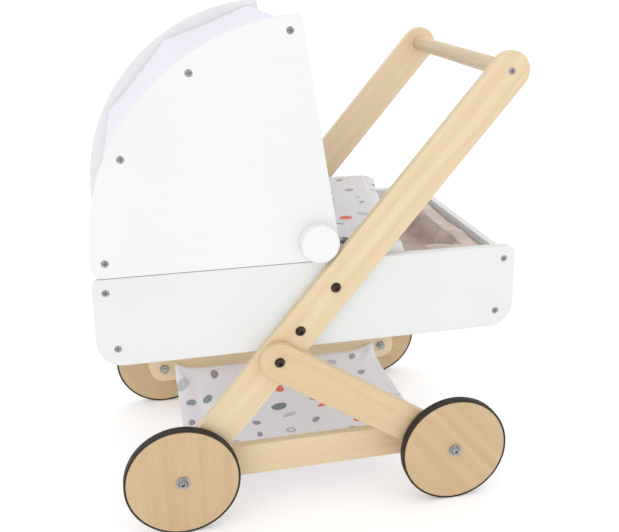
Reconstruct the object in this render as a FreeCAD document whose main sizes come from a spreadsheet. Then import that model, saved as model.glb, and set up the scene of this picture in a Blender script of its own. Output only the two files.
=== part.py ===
"""Doll's pram: a wooden push frame, an open basket, a tipping hood and a cloth tray.

The pram stands on the plane Z = 0.  +X points back towards the child who pushes it,
+Y points to the pusher's right and the origin lies under the middle of the basket.
All lengths are millimetres.  Sideways places are counted from the middle plane Y = 0.
"""
import FreeCAD, Part
import math
import os

import Sketcher
from FreeCAD import Placement, Rotation, Vector

LEFT, RIGHT = -1, 1
X_AXIS, Y_AXIS, Z_AXIS = Vector(1, 0, 0), Vector(0, 1, 0), Vector(0, 0, 1)

doc = FreeCAD.newDocument("doll_pram")

# ---------------------------------------------------------------- driving dimensions
DIMENSIONS = {
    # boards, from the middle outwards: pivot board, basket side, push bar, rear leg
    "board": 10.0,
    "basket_half_width": 138.0,
    "edge_ease": 1.0,
    # wheels
    "wheel_radius": 60.0,
    "tyre_wall": 2.0,
    "tyre_seat_gap": 0.1,
    "tyre_shoulder": 0.8,
    "wheel_width": 10.0,
    "wheelbase": 295.0,
    "wheel_gap": 0.2,
    "washer_radius": 7.0,
    "inner_washer": 1.6,
    "outer_washer": 1.0,
    # push frame
    "bar_radius": 20.0,
    "handle_x": 201.5,
    "handle_z": 468.0,
    "dowel_radius": 9.0,
    "pivot_along": 161.5,
    "low_bolt_along": 198.5,
    "high_bolt_along": 256.5,
    # lower rails and their spacers
    "rail_radius": 18.0,
    "rail_half_width": 132.0,
    "spacer_radius": 9.0,
    # basket
    "side_length": 442.0,
    "side_bottom": 189.0,
    "side_height": 92.0,
    "side_low_corner": 26.0,
    "side_top_corner": 10.0,
    "end_lean": 7.1,
    "end_mid_x": 208.0,
    "end_mid_z": 267.0,
    "end_top": 274.0,
    "end_bottom": 193.0,
    "end_low_screw_z": 207.5,
    "floor_bottom": 198.0,
    "floor_board": 5.0,
    "floor_half_length": 193.8,
    "floor_groove": 4.0,
    "groove_play": 0.1,
    "groove_end_play": 0.5,
    # hood, laid out about its pivot
    "hinge_x": 3.5,
    "hinge_z": 303.2,
    "hood_radius": 223.8,
    "hood_heel": 21.7,
    "hood_back_angle": 8.9,
    "hood_top_corner": 4.0,
    "hood_front_corner": 12.0,
    "hood_board": 9.3,
    "hood_gap": 0.4,
    "batten_radius": 6.0,
    "batten_ring": 209.8,
    "batten_first": 96.6,
    "batten_step": 28.37,
    "cover_gap": 0.3,
    "cover_cloth": 1.5,
    "cover_overhang": 7.0,
    "knob_radius": 19.5,
    "knob_length": 14.0,
    "knob_gap": 0.3,
    "knob_ease": 1.6,
    "knob_socket": 6.0,
    # pivot boards
    "pivot_board_x": 6.0,
    "pivot_board_half": 93.0,
    "pivot_board_bottom": 204.0,
    "pivot_board_top": 292.5,
    "pivot_board_slope": 4.0,
    "lug_radius": 20.0,
    "lug_foot_radius": 8.0,
    "insert_radius": 4.5,
    # fasteners
    "bolt_radius": 3.0,
    "bolt_play": 0.06,
    "bolt_head_radius": 5.5,
    "bolt_crown_radius": 3.6,
    "bolt_head_height": 3.3,
    "bolt_tail": 1.5,
    "socket_radius": 2.3,
    "socket_depth": 2.0,
    "nut_radius": 5.77,
    "nut_height": 5.0,
    "screw_radius": 1.7,
    "screw_play": 0.05,
    "screw_head_radius": 3.8,
    "screw_head_height": 2.2,
    "screw_length": 30.0,
    "screw_tip_room": 0.5,
    "screw_slot_length": 5.0,
    "screw_slot_width": 0.9,
    "screw_slot_depth": 1.0,
    # tray cloth
    "tray_half_length": 134.0,
    "tray_half_width": 121.0,
    "tray_edge_z": 60.0,
    "tray_cloth": 2.0,
    "tray_front_sag": 27.0,
    "tray_back_sag": 5.0,
    "tray_tab": 12.0,
    "tray_screw_length": 10.0,
    "tray_head_play": 0.3,
    # bedding
    "liner_bottom": 203.5,
    "liner_top": 262.0,
    "liner_roll_top": 270.0,
    "liner_roll_start": 135.0,
    "liner_end_gap": 1.5,
    "liner_side_gap": 0.6,
    "liner_base": 28.0,
    "liner_rim": 24.0,
    "liner_notch_half_width": 111.0,
    "liner_notch_play": 2.0,
    "quilt_front_x": -90.0,
    "quilt_back_left_x": 93.0,
    "quilt_back_right_x": 131.0,
    "quilt_half_width": 110.5,
    "quilt_bottom": 262.5,
    "quilt_top": 303.0,
    "quilt_flange_half": 125.0,
    "quilt_flange_bottom": 293.2,
    "quilt_flange_front_x": 30.0,
    # how far a cutting tool stands out past the face that it opens
    "tool_margin": 1.0,
}

sheet = doc.addObject("Spreadsheet::Sheet", "Sizes")
for row, (alias, size) in enumerate(DIMENSIONS.items(), start=1):
    sheet.set(f"A{row}", alias)
    sheet.set(f"B{row}", str(size))
    sheet.setAlias(f"B{row}", alias)
doc.recompute()

PARTS = []


def size(alias):
    """Read one driving dimension from the sheet."""
    return float(sheet.get(alias))


def bind(obj, **formulas):
    """Bind properties of an object to formulas over the sheet's aliases."""
    for name, formula in formulas.items():
        obj.setExpression(name, in_sheet(formula))


def in_sheet(formula):
    """Put the sheet's name before each alias in a formula."""
    words = sorted(DIMENSIONS, key=len, reverse=True)
    out, place = "", 0
    while place < len(formula):
        starts_word = place == 0 or not (formula[place - 1].isalnum() or formula[place - 1] == "_")
        alias = next((w for w in words if starts_word and formula.startswith(w, place)), None)
        if alias:
            out += "Sizes." + alias
            place += len(alias)
        else:
            out += formula[place]
            place += 1
    return out


def keep(obj, label):
    """Name an object as one of the pram's pieces, to be written to its own file."""
    obj.Label = label
    PARTS.append(obj)
    return obj


def turned(x, y, z, axis=Y_AXIS, degrees=0.0):
    return Placement(Vector(x, y, z), Rotation(axis, degrees))


# ---------------------------------------------------------------- bodies and sketches
def new_body(name):
    return doc.addObject("PartDesign::Body", name)


def new_sketch(body, role, name="outline"):
    """Attach a sketch to one of the body's own origin planes."""
    sketch = body.newObject("Sketcher::SketchObject", f"{body.Name}_{name}")
    plane = next(f for f in body.Origin.OriginFeatures if f.Role == role)
    sketch.AttachmentSupport = [(plane, "")]
    sketch.MapMode = "FlatFace"
    return sketch


def constrain(sketch, kind, *args, name=None, formula=None):
    index = sketch.addConstraint(Sketcher.Constraint(kind, *args))
    if name:
        sketch.renameConstraint(index, name)
        sketch.setExpression("Constraints." + name, in_sheet(formula))
    return index


def locate(sketch, geometry, point, x_name, x_formula, x_start, z_name, z_formula, z_start):
    """Place a point of a sketch by its two coordinates; a coordinate may be negative."""
    for kind, name, formula, start in (
        ("DistanceX", x_name, x_formula, x_start),
        ("DistanceY", z_name, z_formula, z_start),
    ):
        constrain(sketch, kind, -1, 1, geometry, point, start, name=name, formula=formula)


def round_hole(sketch, tag, x_formula, z_formula, radius_formula, at, radius):
    """Add a circle; at and radius are its starting place and size before solving."""
    circle = sketch.addGeometry(Part.Circle(Vector(at[0], at[1], 0), Z_AXIS, radius))
    constrain(sketch, "Radius", circle, radius, name=tag + "_radius", formula=radius_formula)
    locate(sketch, circle, 3, tag + "_x", x_formula, at[0], tag + "_z", z_formula, at[1])


def stadium(sketch, length, radius, length_formula, radius_formula):
    """A bar's outline: two straight edges and two round ends, the first about the origin."""
    quarter = math.pi / 2
    near = sketch.addGeometry(
        Part.ArcOfCircle(Part.Circle(Vector(0, 0, 0), Z_AXIS, radius), quarter, 3 * quarter))
    far = sketch.addGeometry(
        Part.ArcOfCircle(Part.Circle(Vector(length, 0, 0), Z_AXIS, radius), -quarter, quarter))
    low = sketch.addGeometry(
        Part.LineSegment(Vector(0, -radius, 0), Vector(length, -radius, 0)))
    high = sketch.addGeometry(
        Part.LineSegment(Vector(length, radius, 0), Vector(0, radius, 0)))
    constrain(sketch, "Tangent", near, 2, low, 1)
    constrain(sketch, "Tangent", low, 2, far, 1)
    constrain(sketch, "Tangent", far, 2, high, 1)
    constrain(sketch, "Tangent", high, 2, near, 1)
    constrain(sketch, "Coincident", near, 3, -1, 1)
    constrain(sketch, "PointOnObject", far, 3, -1)
    constrain(sketch, "Equal", near, far)
    constrain(sketch, "Radius", near, radius, name="end_radius", formula=radius_formula)
    constrain(sketch, "DistanceX", -1, 1, far, 3, length, name="length", formula=length_formula)


def polygon(sketch, corners):
    """A closed outline of straight edges.  Each corner is (x formula, z formula, x, z)."""
    count = len(corners)
    edges = []
    for index, corner in enumerate(corners):
        after = corners[(index + 1) % count]
        edges.append(sketch.addGeometry(Part.LineSegment(
            Vector(corner[2], corner[3], 0), Vector(after[2], after[3], 0))))
    for index, edge in enumerate(edges):
        constrain(sketch, "Coincident", edge, 2, edges[(index + 1) % count], 1)
    for index, (x_formula, z_formula, x, z) in enumerate(corners):
        locate(sketch, edges[index], 1,
               f"corner{index}_x", x_formula, x, f"corner{index}_z", z_formula, z)


def pad(body, sketch, thickness_formula, midplane=True):
    """Thicken a sketch, by default equally to both sides of its plane."""
    feature = body.newObject("PartDesign::Pad", body.Name + "_pad")
    feature.Profile = sketch
    feature.Midplane = midplane
    bind(feature, Length=thickness_formula)
    sketch.Visibility = False
    doc.recompute()
    return feature


def edges_where(shape, test):
    return [f"Edge{number}" for number, edge in enumerate(shape.Edges, start=1) if test(edge)]


def fillet(body, test, radius_formula):
    """Round the edges of the body's last feature that pass a test."""
    base = body.Tip
    names = edges_where(base.Shape, test)
    if not names:
        raise RuntimeError(f"{body.Name}: no edge to round")
    feature = body.newObject("PartDesign::Fillet", body.Name + "_round")
    feature.Base = (base, names)
    bind(feature, Radius=radius_formula)
    doc.recompute()
    return feature


def ease(body):
    """Take the sharpness off every edge of the two broad faces."""
    half = max(abs(body.Tip.Shape.BoundBox.YMin), abs(body.Tip.Shape.BoundBox.YMax))

    def on_broad_face(edge):
        box = edge.BoundBox
        return box.YLength < 1e-6 and abs(abs(box.YMin) - half) < 1e-6

    return fillet(body, on_broad_face, "edge_ease")


def upright_edge_near(x, z, reach=1.0):
    """Test for an edge that runs through the board's thickness close to (x, z)."""
    def test(edge):
        box = edge.BoundBox
        runs_through = box.XLength < 1e-6 and box.ZLength < 1e-6
        return runs_through and math.hypot(box.XMin - x, box.ZMin - z) < reach
    return test


def cut_through(body, sketch):
    """Cut a sketch's circles through the whole thickness, to both sides of its plane."""
    before = body.Tip.Shape.Volume
    feature = body.newObject("PartDesign::Pocket", body.Name + "_holes")
    feature.Profile = sketch
    feature.Type = "ThroughAll"
    feature.Midplane = True
    sketch.Visibility = False
    doc.recompute()
    if not feature.Shape.Volume < before:
        raise RuntimeError(f"{body.Name}: the holes cut nothing")
    return feature


def primitive(kind, name, placement=None, **formulas):
    """A Part primitive whose sizes are bound to the sheet."""
    obj = doc.addObject("Part::" + kind, name)
    bind(obj, **formulas)
    if placement:
        obj.Placement = placement
    return obj


def cut(name, base, tool):
    obj = doc.addObject("Part::Cut", name)
    obj.Base = base
    obj.Tool = tool
    return obj


def fuse(name, *shapes):
    obj = doc.addObject("Part::MultiFuse", name)
    obj.Shapes = list(shapes)
    return obj


def mirror(source, label):
    """The same piece for the other side of the pram."""
    obj = doc.addObject("Part::Mirroring", label)
    obj.Source = source
    obj.Normal = Y_AXIS
    return keep(obj, label)


def group(label, master, placements):
    """Identical fasteners share one node: a copy of the master solid at each place."""
    obj = doc.addObject("Part::Feature", label)
    obj.Shape = Part.makeCompound(
        [master.Shape.transformed(place.toMatrix()) for place in placements])
    obj.Placement = Placement()
    return keep(obj, label)


SOCKET_TURN = 15.0
FLATS_LEVEL = 30.0


def outward(x, half_width, z, side, spin=0.0):
    """Stand a fastener modelled along +Z with its head up so that its head faces outwards."""
    tilt = Rotation(X_AXIS, -90.0 * side)
    return Placement(Vector(x, side * half_width, z), tilt.multiply(Rotation(Z_AXIS, spin)))


# ---------------------------------------------------------------- places shared by pieces
BOARD = size("board")
AXLE_X = size("wheelbase") / 2
AXLE_Z = size("wheel_radius")
SIDE_OUT = size("basket_half_width")
SIDE_IN = SIDE_OUT - BOARD
BAR_OUT = SIDE_OUT + BOARD
LEG_OUT = BAR_OUT + BOARD
PIVOT_BOARD_IN = SIDE_IN - BOARD
RAIL_OUT = size("rail_half_width")
RAIL_IN = RAIL_OUT - BOARD
HINGE_X = size("hinge_x")
HINGE_Z = size("hinge_z")

BAR_RUN = size("handle_x") + AXLE_X
BAR_RISE = size("handle_z") - AXLE_Z
BAR_ANGLE = math.degrees(math.atan2(BAR_RISE, BAR_RUN))
BAR_LENGTH = math.hypot(BAR_RUN, BAR_RISE)
RUN_FORMULA = "(handle_x + wheelbase / 2)"
RISE_FORMULA = "(handle_z - wheel_radius)"
LENGTH_FORMULA = f"sqrt({RUN_FORMULA} ^ 2 + {RISE_FORMULA} ^ 2)"


def on_bar(along):
    """The point of the push bar's middle line at a distance from the front axle."""
    share = along / BAR_LENGTH
    return -AXLE_X + share * BAR_RUN, AXLE_Z + share * BAR_RISE


LEG_PIVOT_X, LEG_PIVOT_Z = on_bar(size("pivot_along"))
FRAME_BOLTS = [on_bar(size("low_bolt_along")), on_bar(size("high_bolt_along"))]


def end_board_x(z):
    """Half length to the middle of a leaning end board at height z."""
    lean = math.tan(math.radians(size("end_lean")))
    return size("end_mid_x") + (z - size("end_mid_z")) * lean


END_SCREWS = [(end_board_x(z), z) for z in (size("end_mid_z"), size("end_low_screw_z"))]


def on_hood(radius, degrees):
    angle = math.radians(degrees)
    return HINGE_X + radius * math.cos(angle), HINGE_Z + radius * math.sin(angle)


BATTEN_ANGLES = [size("batten_first") + step * size("batten_step") for step in range(4)]
BOLT_HOLE = "bolt_radius + bolt_play"


def frame_bolt_holes(sketch):
    """The two holes where the push bar is bolted through the basket."""
    for tag, along, place in (("low", "low_bolt_along", FRAME_BOLTS[0]),
                              ("high", "high_bolt_along", FRAME_BOLTS[1])):
        round_hole(sketch, tag,
                   f"{along} * {RUN_FORMULA} / {LENGTH_FORMULA} - wheelbase / 2",
                   f"wheel_radius + {along} * {RISE_FORMULA} / {LENGTH_FORMULA}",
                   BOLT_HOLE, place, size("bolt_radius"))



# ---------------------------------------------------------------- fastener masters
def make_bolt(name, length_formula):
    """A button-head bolt along Z: shank below the plane Z = 0, domed head above it."""
    shank = primitive("Cylinder", name + "_shank", Radius="bolt_radius", Height=length_formula)
    shank.setExpression("Placement.Base.z", in_sheet("-1 * (" + length_formula + ")"))
    head = primitive("Cone", name + "_head", Radius1="bolt_head_radius",
                     Radius2="bolt_crown_radius", Height="bolt_head_height")
    socket = primitive("Prism", name + "_socket", Circumradius="socket_radius",
                       Height="socket_depth + tool_margin")
    socket.Polygon = 6
    socket.setExpression("Placement.Base.z", in_sheet("bolt_head_height - socket_depth"))
    return cut(name, fuse(name + "_solid", shank, head), socket)


def through_bore(name, height_formula):
    """The drill for a bolt hole through a piece that stands on Z = 0."""
    return primitive("Cylinder", name + "_bore", turned(0, 0, -size("tool_margin")),
                     Radius=BOLT_HOLE, Height=height_formula + " + 2 * tool_margin")


def make_nut(name):
    prism = primitive("Prism", name + "_hex", Circumradius="nut_radius", Height="nut_height")
    prism.Polygon = 6
    return cut(name, prism, through_bore(name, "nut_height"))


def make_ring(name, radius_formula, height_formula):
    disc = primitive("Cylinder", name + "_disc", Radius=radius_formula, Height=height_formula)
    return cut(name, disc, through_bore(name, height_formula))


def make_screw(name, length_formula):
    """A countersunk wood screw with a crossed slot, its flat head at the plane Z = 0."""
    shank = primitive("Cylinder", name + "_shank", Radius="screw_radius", Height=length_formula)
    shank.setExpression("Placement.Base.z", in_sheet("-1 * (" + length_formula + ")"))
    head = primitive("Cone", name + "_head", Radius1="screw_radius",
                     Radius2="screw_head_radius", Height="screw_head_height")
    head.setExpression("Placement.Base.z", in_sheet("-1 * screw_head_height"))
    slots = []
    for axis, (wide, deep) in enumerate((("screw_slot_length", "screw_slot_width"),
                                         ("screw_slot_width", "screw_slot_length"))):
        slot = primitive("Box", f"{name}_slot{axis}", Length=wide, Width=deep,
                         Height="screw_slot_depth + tool_margin")
        slot.setExpression("Placement.Base.x", in_sheet(f"-0.5 * ({wide})"))
        slot.setExpression("Placement.Base.y", in_sheet(f"-0.5 * ({deep})"))
        slot.setExpression("Placement.Base.z", in_sheet("-1 * screw_slot_depth"))
        slots.append(slot)
    return cut(name, fuse(name + "_solid", shank, head), fuse(name + "_cross", *slots))


def screw_seat(name, depth_formula):
    """The cone and pilot hole that a countersunk screw needs, head plane at Z = 0."""
    pilot = primitive("Cylinder", name + "_pilot", Radius="screw_radius + screw_play",
                      Height=depth_formula)
    pilot.setExpression("Placement.Base.z", in_sheet("-1 * (" + depth_formula + ")"))
    cone = primitive("Cone", name + "_cone", Radius1="screw_radius + screw_play",
                     Radius2="screw_head_radius + screw_play * 2",
                     Height="screw_head_height + screw_play")
    cone.setExpression("Placement.Base.z", in_sheet("-1 * screw_head_height"))
    return fuse(name, pilot, cone)


screw_master = make_screw("wood_screw", "screw_length")
seat_master = screw_seat("wood_screw_seat", "screw_length + screw_tip_room")
nut_master = make_nut("hex_nut")
doc.recompute()


def seats(name, places):
    """All the screw seats of one piece, as one cutting tool."""
    tool = doc.addObject("Part::Feature", name)
    tool.Shape = Part.makeCompound(
        [seat_master.Shape.transformed(place.toMatrix()) for place in places])
    tool.Placement = Placement()
    return tool


def bored(body, places, label):
    """Cut screw seats into a finished board and keep the result under the label."""
    return keep(cut(body.Name + "_bored", body, seats(body.Name + "_seats", places)), label)


# ---------------------------------------------------------------- push bars and handle
def make_push_bar():
    body = new_body("push_bar_body")
    outline = new_sketch(body, "XZ_Plane")
    stadium(outline, BAR_LENGTH, size("bar_radius"), LENGTH_FORMULA, "bar_radius")
    pad(body, outline, "board")
    ease(body)
    holes = new_sketch(body, "XZ_Plane", "bolts")
    for tag, along in (("axle", "0"), ("pivot", "pivot_along"),
                       ("low", "low_bolt_along"), ("high", "high_bolt_along")):
        start = size(along) if along != "0" else 0.0
        round_hole(holes, tag, along, "0", BOLT_HOLE, (start, 0.0), size("bolt_radius"))
    cut_through(body, holes)
    body.Placement = turned(-AXLE_X, LEFT * (SIDE_OUT + BOARD / 2), AXLE_Z, Y_AXIS, -BAR_ANGLE)
    doc.recompute()
    handle_seat = [outward(size("handle_x"), BAR_OUT, size("handle_z"), LEFT)]
    return bored(body, handle_seat, "push_bar_left")


push_bar = make_push_bar()
mirror(push_bar, "push_bar_right")


def make_dowel(name, radius_formula, half_formula, x, z):
    """A round rod that lies across the pram between two boards."""
    rod = primitive("Cylinder", name, Radius=radius_formula, Height=f"2 * ({half_formula})")
    doc.recompute()
    half = rod.Height.Value / 2
    rod.Placement = turned(x, half, z, X_AXIS, 90.0)
    return rod


HANDLE_PLACE = (size("handle_x"), size("handle_z"))
handle_rod = make_dowel("handle_rod", "dowel_radius", "basket_half_width", *HANDLE_PLACE)
HANDLE_SCREWS = [outward(HANDLE_PLACE[0], BAR_OUT, HANDLE_PLACE[1], side)
                 for side in (LEFT, RIGHT)]
bored(handle_rod, HANDLE_SCREWS, "handle_dowel")
group("handle_screws", screw_master, HANDLE_SCREWS)


# ---------------------------------------------------------------- rear legs
def make_rear_leg():
    body = new_body("rear_leg_body")
    run = AXLE_X - LEG_PIVOT_X
    drop = LEG_PIVOT_Z - AXLE_Z
    length = math.hypot(run, drop)
    run_formula = f"(wheelbase - pivot_along * {RUN_FORMULA} / {LENGTH_FORMULA})"
    drop_formula = f"(pivot_along * {RISE_FORMULA} / {LENGTH_FORMULA})"
    length_formula = f"sqrt({run_formula} ^ 2 + {drop_formula} ^ 2)"
    outline = new_sketch(body, "XZ_Plane")
    stadium(outline, length, size("bar_radius"), length_formula, "bar_radius")
    pad(body, outline, "board")
    ease(body)
    holes = new_sketch(body, "XZ_Plane", "bolts")
    round_hole(holes, "pivot", "0", "0", BOLT_HOLE, (0.0, 0.0), size("bolt_radius"))
    round_hole(holes, "axle", length_formula, "0", BOLT_HOLE, (length, 0.0), size("bolt_radius"))
    cut_through(body, holes)
    slope = math.degrees(math.atan2(drop, run))
    body.Placement = turned(LEG_PIVOT_X, LEFT * (BAR_OUT + BOARD / 2), LEG_PIVOT_Z,
                            Y_AXIS, slope)
    doc.recompute()
    return keep(body, "rear_leg_left")


mirror(make_rear_leg(), "rear_leg_right")


# ---------------------------------------------------------------- lower rails and spacers
def make_rail():
    body = new_body("rail_body")
    outline = new_sketch(body, "XZ_Plane")
    stadium(outline, size("wheelbase"), size("rail_radius"), "wheelbase", "rail_radius")
    pad(body, outline, "board")
    ease(body)
    holes = new_sketch(body, "XZ_Plane", "bolts")
    round_hole(holes, "front", "0", "0", BOLT_HOLE, (0.0, 0.0), size("bolt_radius"))
    round_hole(holes, "rear", "wheelbase", "0", BOLT_HOLE,
               (size("wheelbase"), 0.0), size("bolt_radius"))
    inset = AXLE_X - size("tray_half_length") + size("tray_tab") / 2
    inset_formula = "wheelbase / 2 - tray_half_length + tray_tab / 2"
    for tag, formula, at in (
        ("front_tray", inset_formula, inset),
        ("rear_tray", f"wheelbase - ({inset_formula})", size("wheelbase") - inset),
    ):
        round_hole(holes, tag, formula, "0", "screw_radius + screw_play",
                   (at, 0.0), size("screw_radius"))
    cut_through(body, holes)
    body.Placement = turned(-AXLE_X, LEFT * (RAIL_OUT - BOARD / 2), AXLE_Z)
    doc.recompute()
    return keep(body, "lower_rail_left")


mirror(make_rail(), "lower_rail_right")

front_spacer = make_ring("front_spacer", "spacer_radius", "basket_half_width - rail_half_width")
rear_spacer = make_ring("rear_spacer", "spacer_radius",
                        "basket_half_width + board - rail_half_width")
doc.recompute()
group("front_rail_spacers", front_spacer,
      [outward(-AXLE_X, RAIL_OUT, AXLE_Z, side) for side in (LEFT, RIGHT)])
group("rear_rail_spacers", rear_spacer,
      [outward(AXLE_X, RAIL_OUT, AXLE_Z, side) for side in (LEFT, RIGHT)])


# ---------------------------------------------------------------- wheels and axle bolts
def make_wheel(name, x, side, board_face):
    """One plain wooden disc and its thin rubber tyre; board_face is what it runs against."""
    middle = board_face + size("inner_washer") + size("wheel_gap") + size("wheel_width") / 2
    disc = new_body(name + "_body")
    outline = new_sketch(disc, "XZ_Plane")
    rim = outline.addGeometry(Part.Circle(Vector(0, 0, 0), Z_AXIS, size("wheel_radius")))
    constrain(outline, "Coincident", rim, 3, -1, 1)
    constrain(outline, "Radius", rim, size("wheel_radius"), name="rim",
              formula="wheel_radius - tyre_wall")
    pad(disc, outline, "wheel_width")
    ease(disc)
    bore = new_sketch(disc, "XZ_Plane", "bore")
    round_hole(bore, "bore", "0", "0", BOLT_HOLE, (0.0, 0.0), size("bolt_radius"))
    cut_through(disc, bore)
    disc.Placement = turned(x, side * middle, AXLE_Z)
    keep(disc, name + "_disc")

    tyre = new_body(name + "_tyre_body")
    ring = new_sketch(tyre, "XZ_Plane")
    for tag, formula, radius in (("outer", "wheel_radius", size("wheel_radius")),
                                 ("inner", "wheel_radius - tyre_wall + tyre_seat_gap",
                                  size("wheel_radius") - size("tyre_wall"))):
        circle = ring.addGeometry(Part.Circle(Vector(0, 0, 0), Z_AXIS, radius))
        constrain(ring, "Coincident", circle, 3, -1, 1)
        constrain(ring, "Radius", circle, radius, name=tag, formula=formula)
    pad(tyre, ring, "wheel_width")
    tread = size("wheel_radius") - size("tyre_wall") / 2
    fillet(tyre, lambda edge: edge.BoundBox.XMax > tread and edge.BoundBox.YLength < 1e-6,
           "tyre_shoulder")
    tyre.Placement = turned(x, side * middle, AXLE_Z)
    keep(tyre, name + "_tyre")


WHEELS = {"front": (-AXLE_X, BAR_OUT), "rear": (AXLE_X, LEG_OUT)}
for end, (x, face) in WHEELS.items():
    for side_name, side in (("left", LEFT), ("right", RIGHT)):
        make_wheel(f"{end}_{side_name}_wheel", x, side, face)

WHEEL_STACK = (size("inner_washer") + size("wheel_width") + 2 * size("wheel_gap")
               + size("outer_washer"))
AXLE_STACK = ("inner_washer + wheel_width + 2 * wheel_gap + outer_washer"
              " + nut_height + bolt_tail")
inner_washer = make_ring("inner_washer_master", "washer_radius", "inner_washer")
outer_washer = make_ring("outer_washer_master", "washer_radius", "outer_washer")
AXLE_REACH = {
    "front": "basket_half_width + board - (rail_half_width - board)",
    "rear": "basket_half_width + 2 * board - (rail_half_width - board)",
}
axle_bolts = {end: make_bolt(end + "_axle_master", f"{AXLE_STACK} + {reach}")
              for end, reach in AXLE_REACH.items()}
doc.recompute()
for end, (x, face) in WHEELS.items():
    group(end + "_axle_bolts", axle_bolts[end],
          [outward(x, face + WHEEL_STACK, AXLE_Z, side, SOCKET_TURN)
           for side in (LEFT, RIGHT)])
axle_places = [(x, face, side) for x, face in WHEELS.values() for side in (LEFT, RIGHT)]
group("inner_washers", inner_washer,
      [outward(x, face, AXLE_Z, side) for x, face, side in axle_places])
group("outer_washers", outer_washer,
      [outward(x, face + WHEEL_STACK - size("outer_washer"), AXLE_Z, side)
       for x, face, side in axle_places])
NUT_BACK = size("nut_height")
group("axle_nuts", nut_master,
      [outward(x, RAIL_IN - NUT_BACK, AXLE_Z, side) for x, face, side in axle_places])


# ---------------------------------------------------------------- basket
def make_basket_side():
    body = new_body("basket_side_body")
    half = size("side_length") / 2
    low = size("side_bottom")
    high = low + size("side_height")
    outline = new_sketch(body, "XZ_Plane")
    polygon(outline, [
        ("-0.5 * side_length", "side_bottom", -half, low),
        ("0.5 * side_length", "side_bottom", half, low),
        ("0.5 * side_length", "side_bottom + side_height", half, high),
        ("-0.5 * side_length", "side_bottom + side_height", -half, high),
    ])
    pad(body, outline, "board")
    for x in (-half, half):
        fillet(body, upright_edge_near(x, low), "side_low_corner")
        fillet(body, upright_edge_near(x, high), "side_top_corner")
    ease(body)
    holes = new_sketch(body, "XZ_Plane", "bolts")
    frame_bolt_holes(holes)
    cut_through(body, holes)
    body.Placement = turned(0, LEFT * (SIDE_OUT - BOARD / 2), 0)
    groove = primitive("Box", "floor_groove_tool",
                       Length="2 * (floor_half_length + groove_end_play)",
                       Width="floor_groove + tool_margin",
                       Height="floor_board + 2 * groove_play")
    groove.Placement = turned(-size("floor_half_length") - size("groove_end_play"),
                              LEFT * (SIDE_IN + size("floor_groove")),
                              size("floor_bottom") - size("groove_play"))
    grooved = cut("basket_side_grooved", body, groove)
    doc.recompute()
    places = [outward(end * x, SIDE_OUT, z, LEFT) for x, z in END_SCREWS for end in (-1, 1)]
    return bored(grooved, places, "basket_side_left")


mirror(make_basket_side(), "basket_side_right")


def make_end_board(name, end):
    """A board between the two sides that leans out towards the top; end is -1 or 1."""
    body = new_body(name + "_body")
    outline = new_sketch(body, "XY_Plane")
    half = SIDE_IN
    half_formula = "(basket_half_width - board)"
    polygon(outline, [
        ("-0.5 * board", f"-1 * {half_formula}", -BOARD / 2, -half),
        ("0.5 * board", f"-1 * {half_formula}", BOARD / 2, -half),
        ("0.5 * board", half_formula, BOARD / 2, half),
        ("-0.5 * board", half_formula, -BOARD / 2, half),
    ])
    tall = "(end_top - end_bottom) / cos(end_lean)"
    pad(body, outline, tall, midplane=False)
    top = body.Tip.Shape.BoundBox.ZMax

    def on_top(edge):
        return edge.BoundBox.ZMin > top - 1e-6 and edge.BoundBox.YLength > half

    fillet(body, on_top, "edge_ease")
    bottom = size("end_bottom")
    body.Placement = turned(end * end_board_x(bottom), 0, bottom, Y_AXIS, end * size("end_lean"))
    doc.recompute()
    places = [outward(end * x, SIDE_OUT, z, side) for x, z in END_SCREWS
              for side in (LEFT, RIGHT)]
    return bored(body, places, name)


make_end_board("basket_front_board", -1)
make_end_board("basket_rear_board", 1)
group("basket_screws", screw_master,
      [outward(end * x, SIDE_OUT, z, side) for x, z in END_SCREWS
       for end in (-1, 1) for side in (LEFT, RIGHT)])

floor = primitive("Box", "basket_floor", Length="2 * floor_half_length",
                  Width="2 * (basket_half_width - board + floor_groove - groove_play)",
                  Height="floor_board")
floor.Placement = turned(-size("floor_half_length"),
                         -(SIDE_IN + size("floor_groove") - size("groove_play")),
                         size("floor_bottom"))
keep(floor, "basket_floor")


# ---------------------------------------------------------------- pivot boards of the hood
def make_pivot_board():
    body = new_body("pivot_board_body")
    middle, half = size("pivot_board_x"), size("pivot_board_half")
    bottom, top = size("pivot_board_bottom"), size("pivot_board_top")
    slope, rim = size("pivot_board_slope"), size("side_bottom") + size("side_height")
    rim_formula = "side_bottom + side_height"
    outline = new_sketch(body, "XZ_Plane")
    polygon(outline, [
        ("pivot_board_x - pivot_board_half", "pivot_board_bottom", middle - half, bottom),
        ("pivot_board_x + pivot_board_half", "pivot_board_bottom", middle + half, bottom),
        ("pivot_board_x + pivot_board_half", rim_formula, middle + half, rim),
        ("pivot_board_x + pivot_board_half - pivot_board_slope", "pivot_board_top",
         middle + half - slope, top),
        ("pivot_board_x - pivot_board_half + pivot_board_slope", "pivot_board_top",
         middle - half + slope, top),
        ("pivot_board_x - pivot_board_half", rim_formula, middle - half, rim),
    ])
    pad(body, outline, "board")
    lug = new_sketch(body, "XZ_Plane", "lug")
    round_hole(lug, "lug", "hinge_x", "hinge_z", "lug_radius",
               (HINGE_X, HINGE_Z), size("lug_radius"))
    pad(body, lug, "board")
    reach = math.sqrt(size("lug_radius") ** 2 - (HINGE_Z - top) ** 2)
    for x in (HINGE_X - reach, HINGE_X + reach):
        fillet(body, upright_edge_near(x, top), "lug_foot_radius")
    ease(body)
    holes = new_sketch(body, "XZ_Plane", "bolts")
    frame_bolt_holes(holes)
    round_hole(holes, "insert", "hinge_x", "hinge_z", "insert_radius",
               (HINGE_X, HINGE_Z), size("insert_radius"))
    cut_through(body, holes)
    body.Placement = turned(0, LEFT * (SIDE_IN - BOARD / 2), 0)
    doc.recompute()
    return keep(body, "pivot_board_left")


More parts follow.
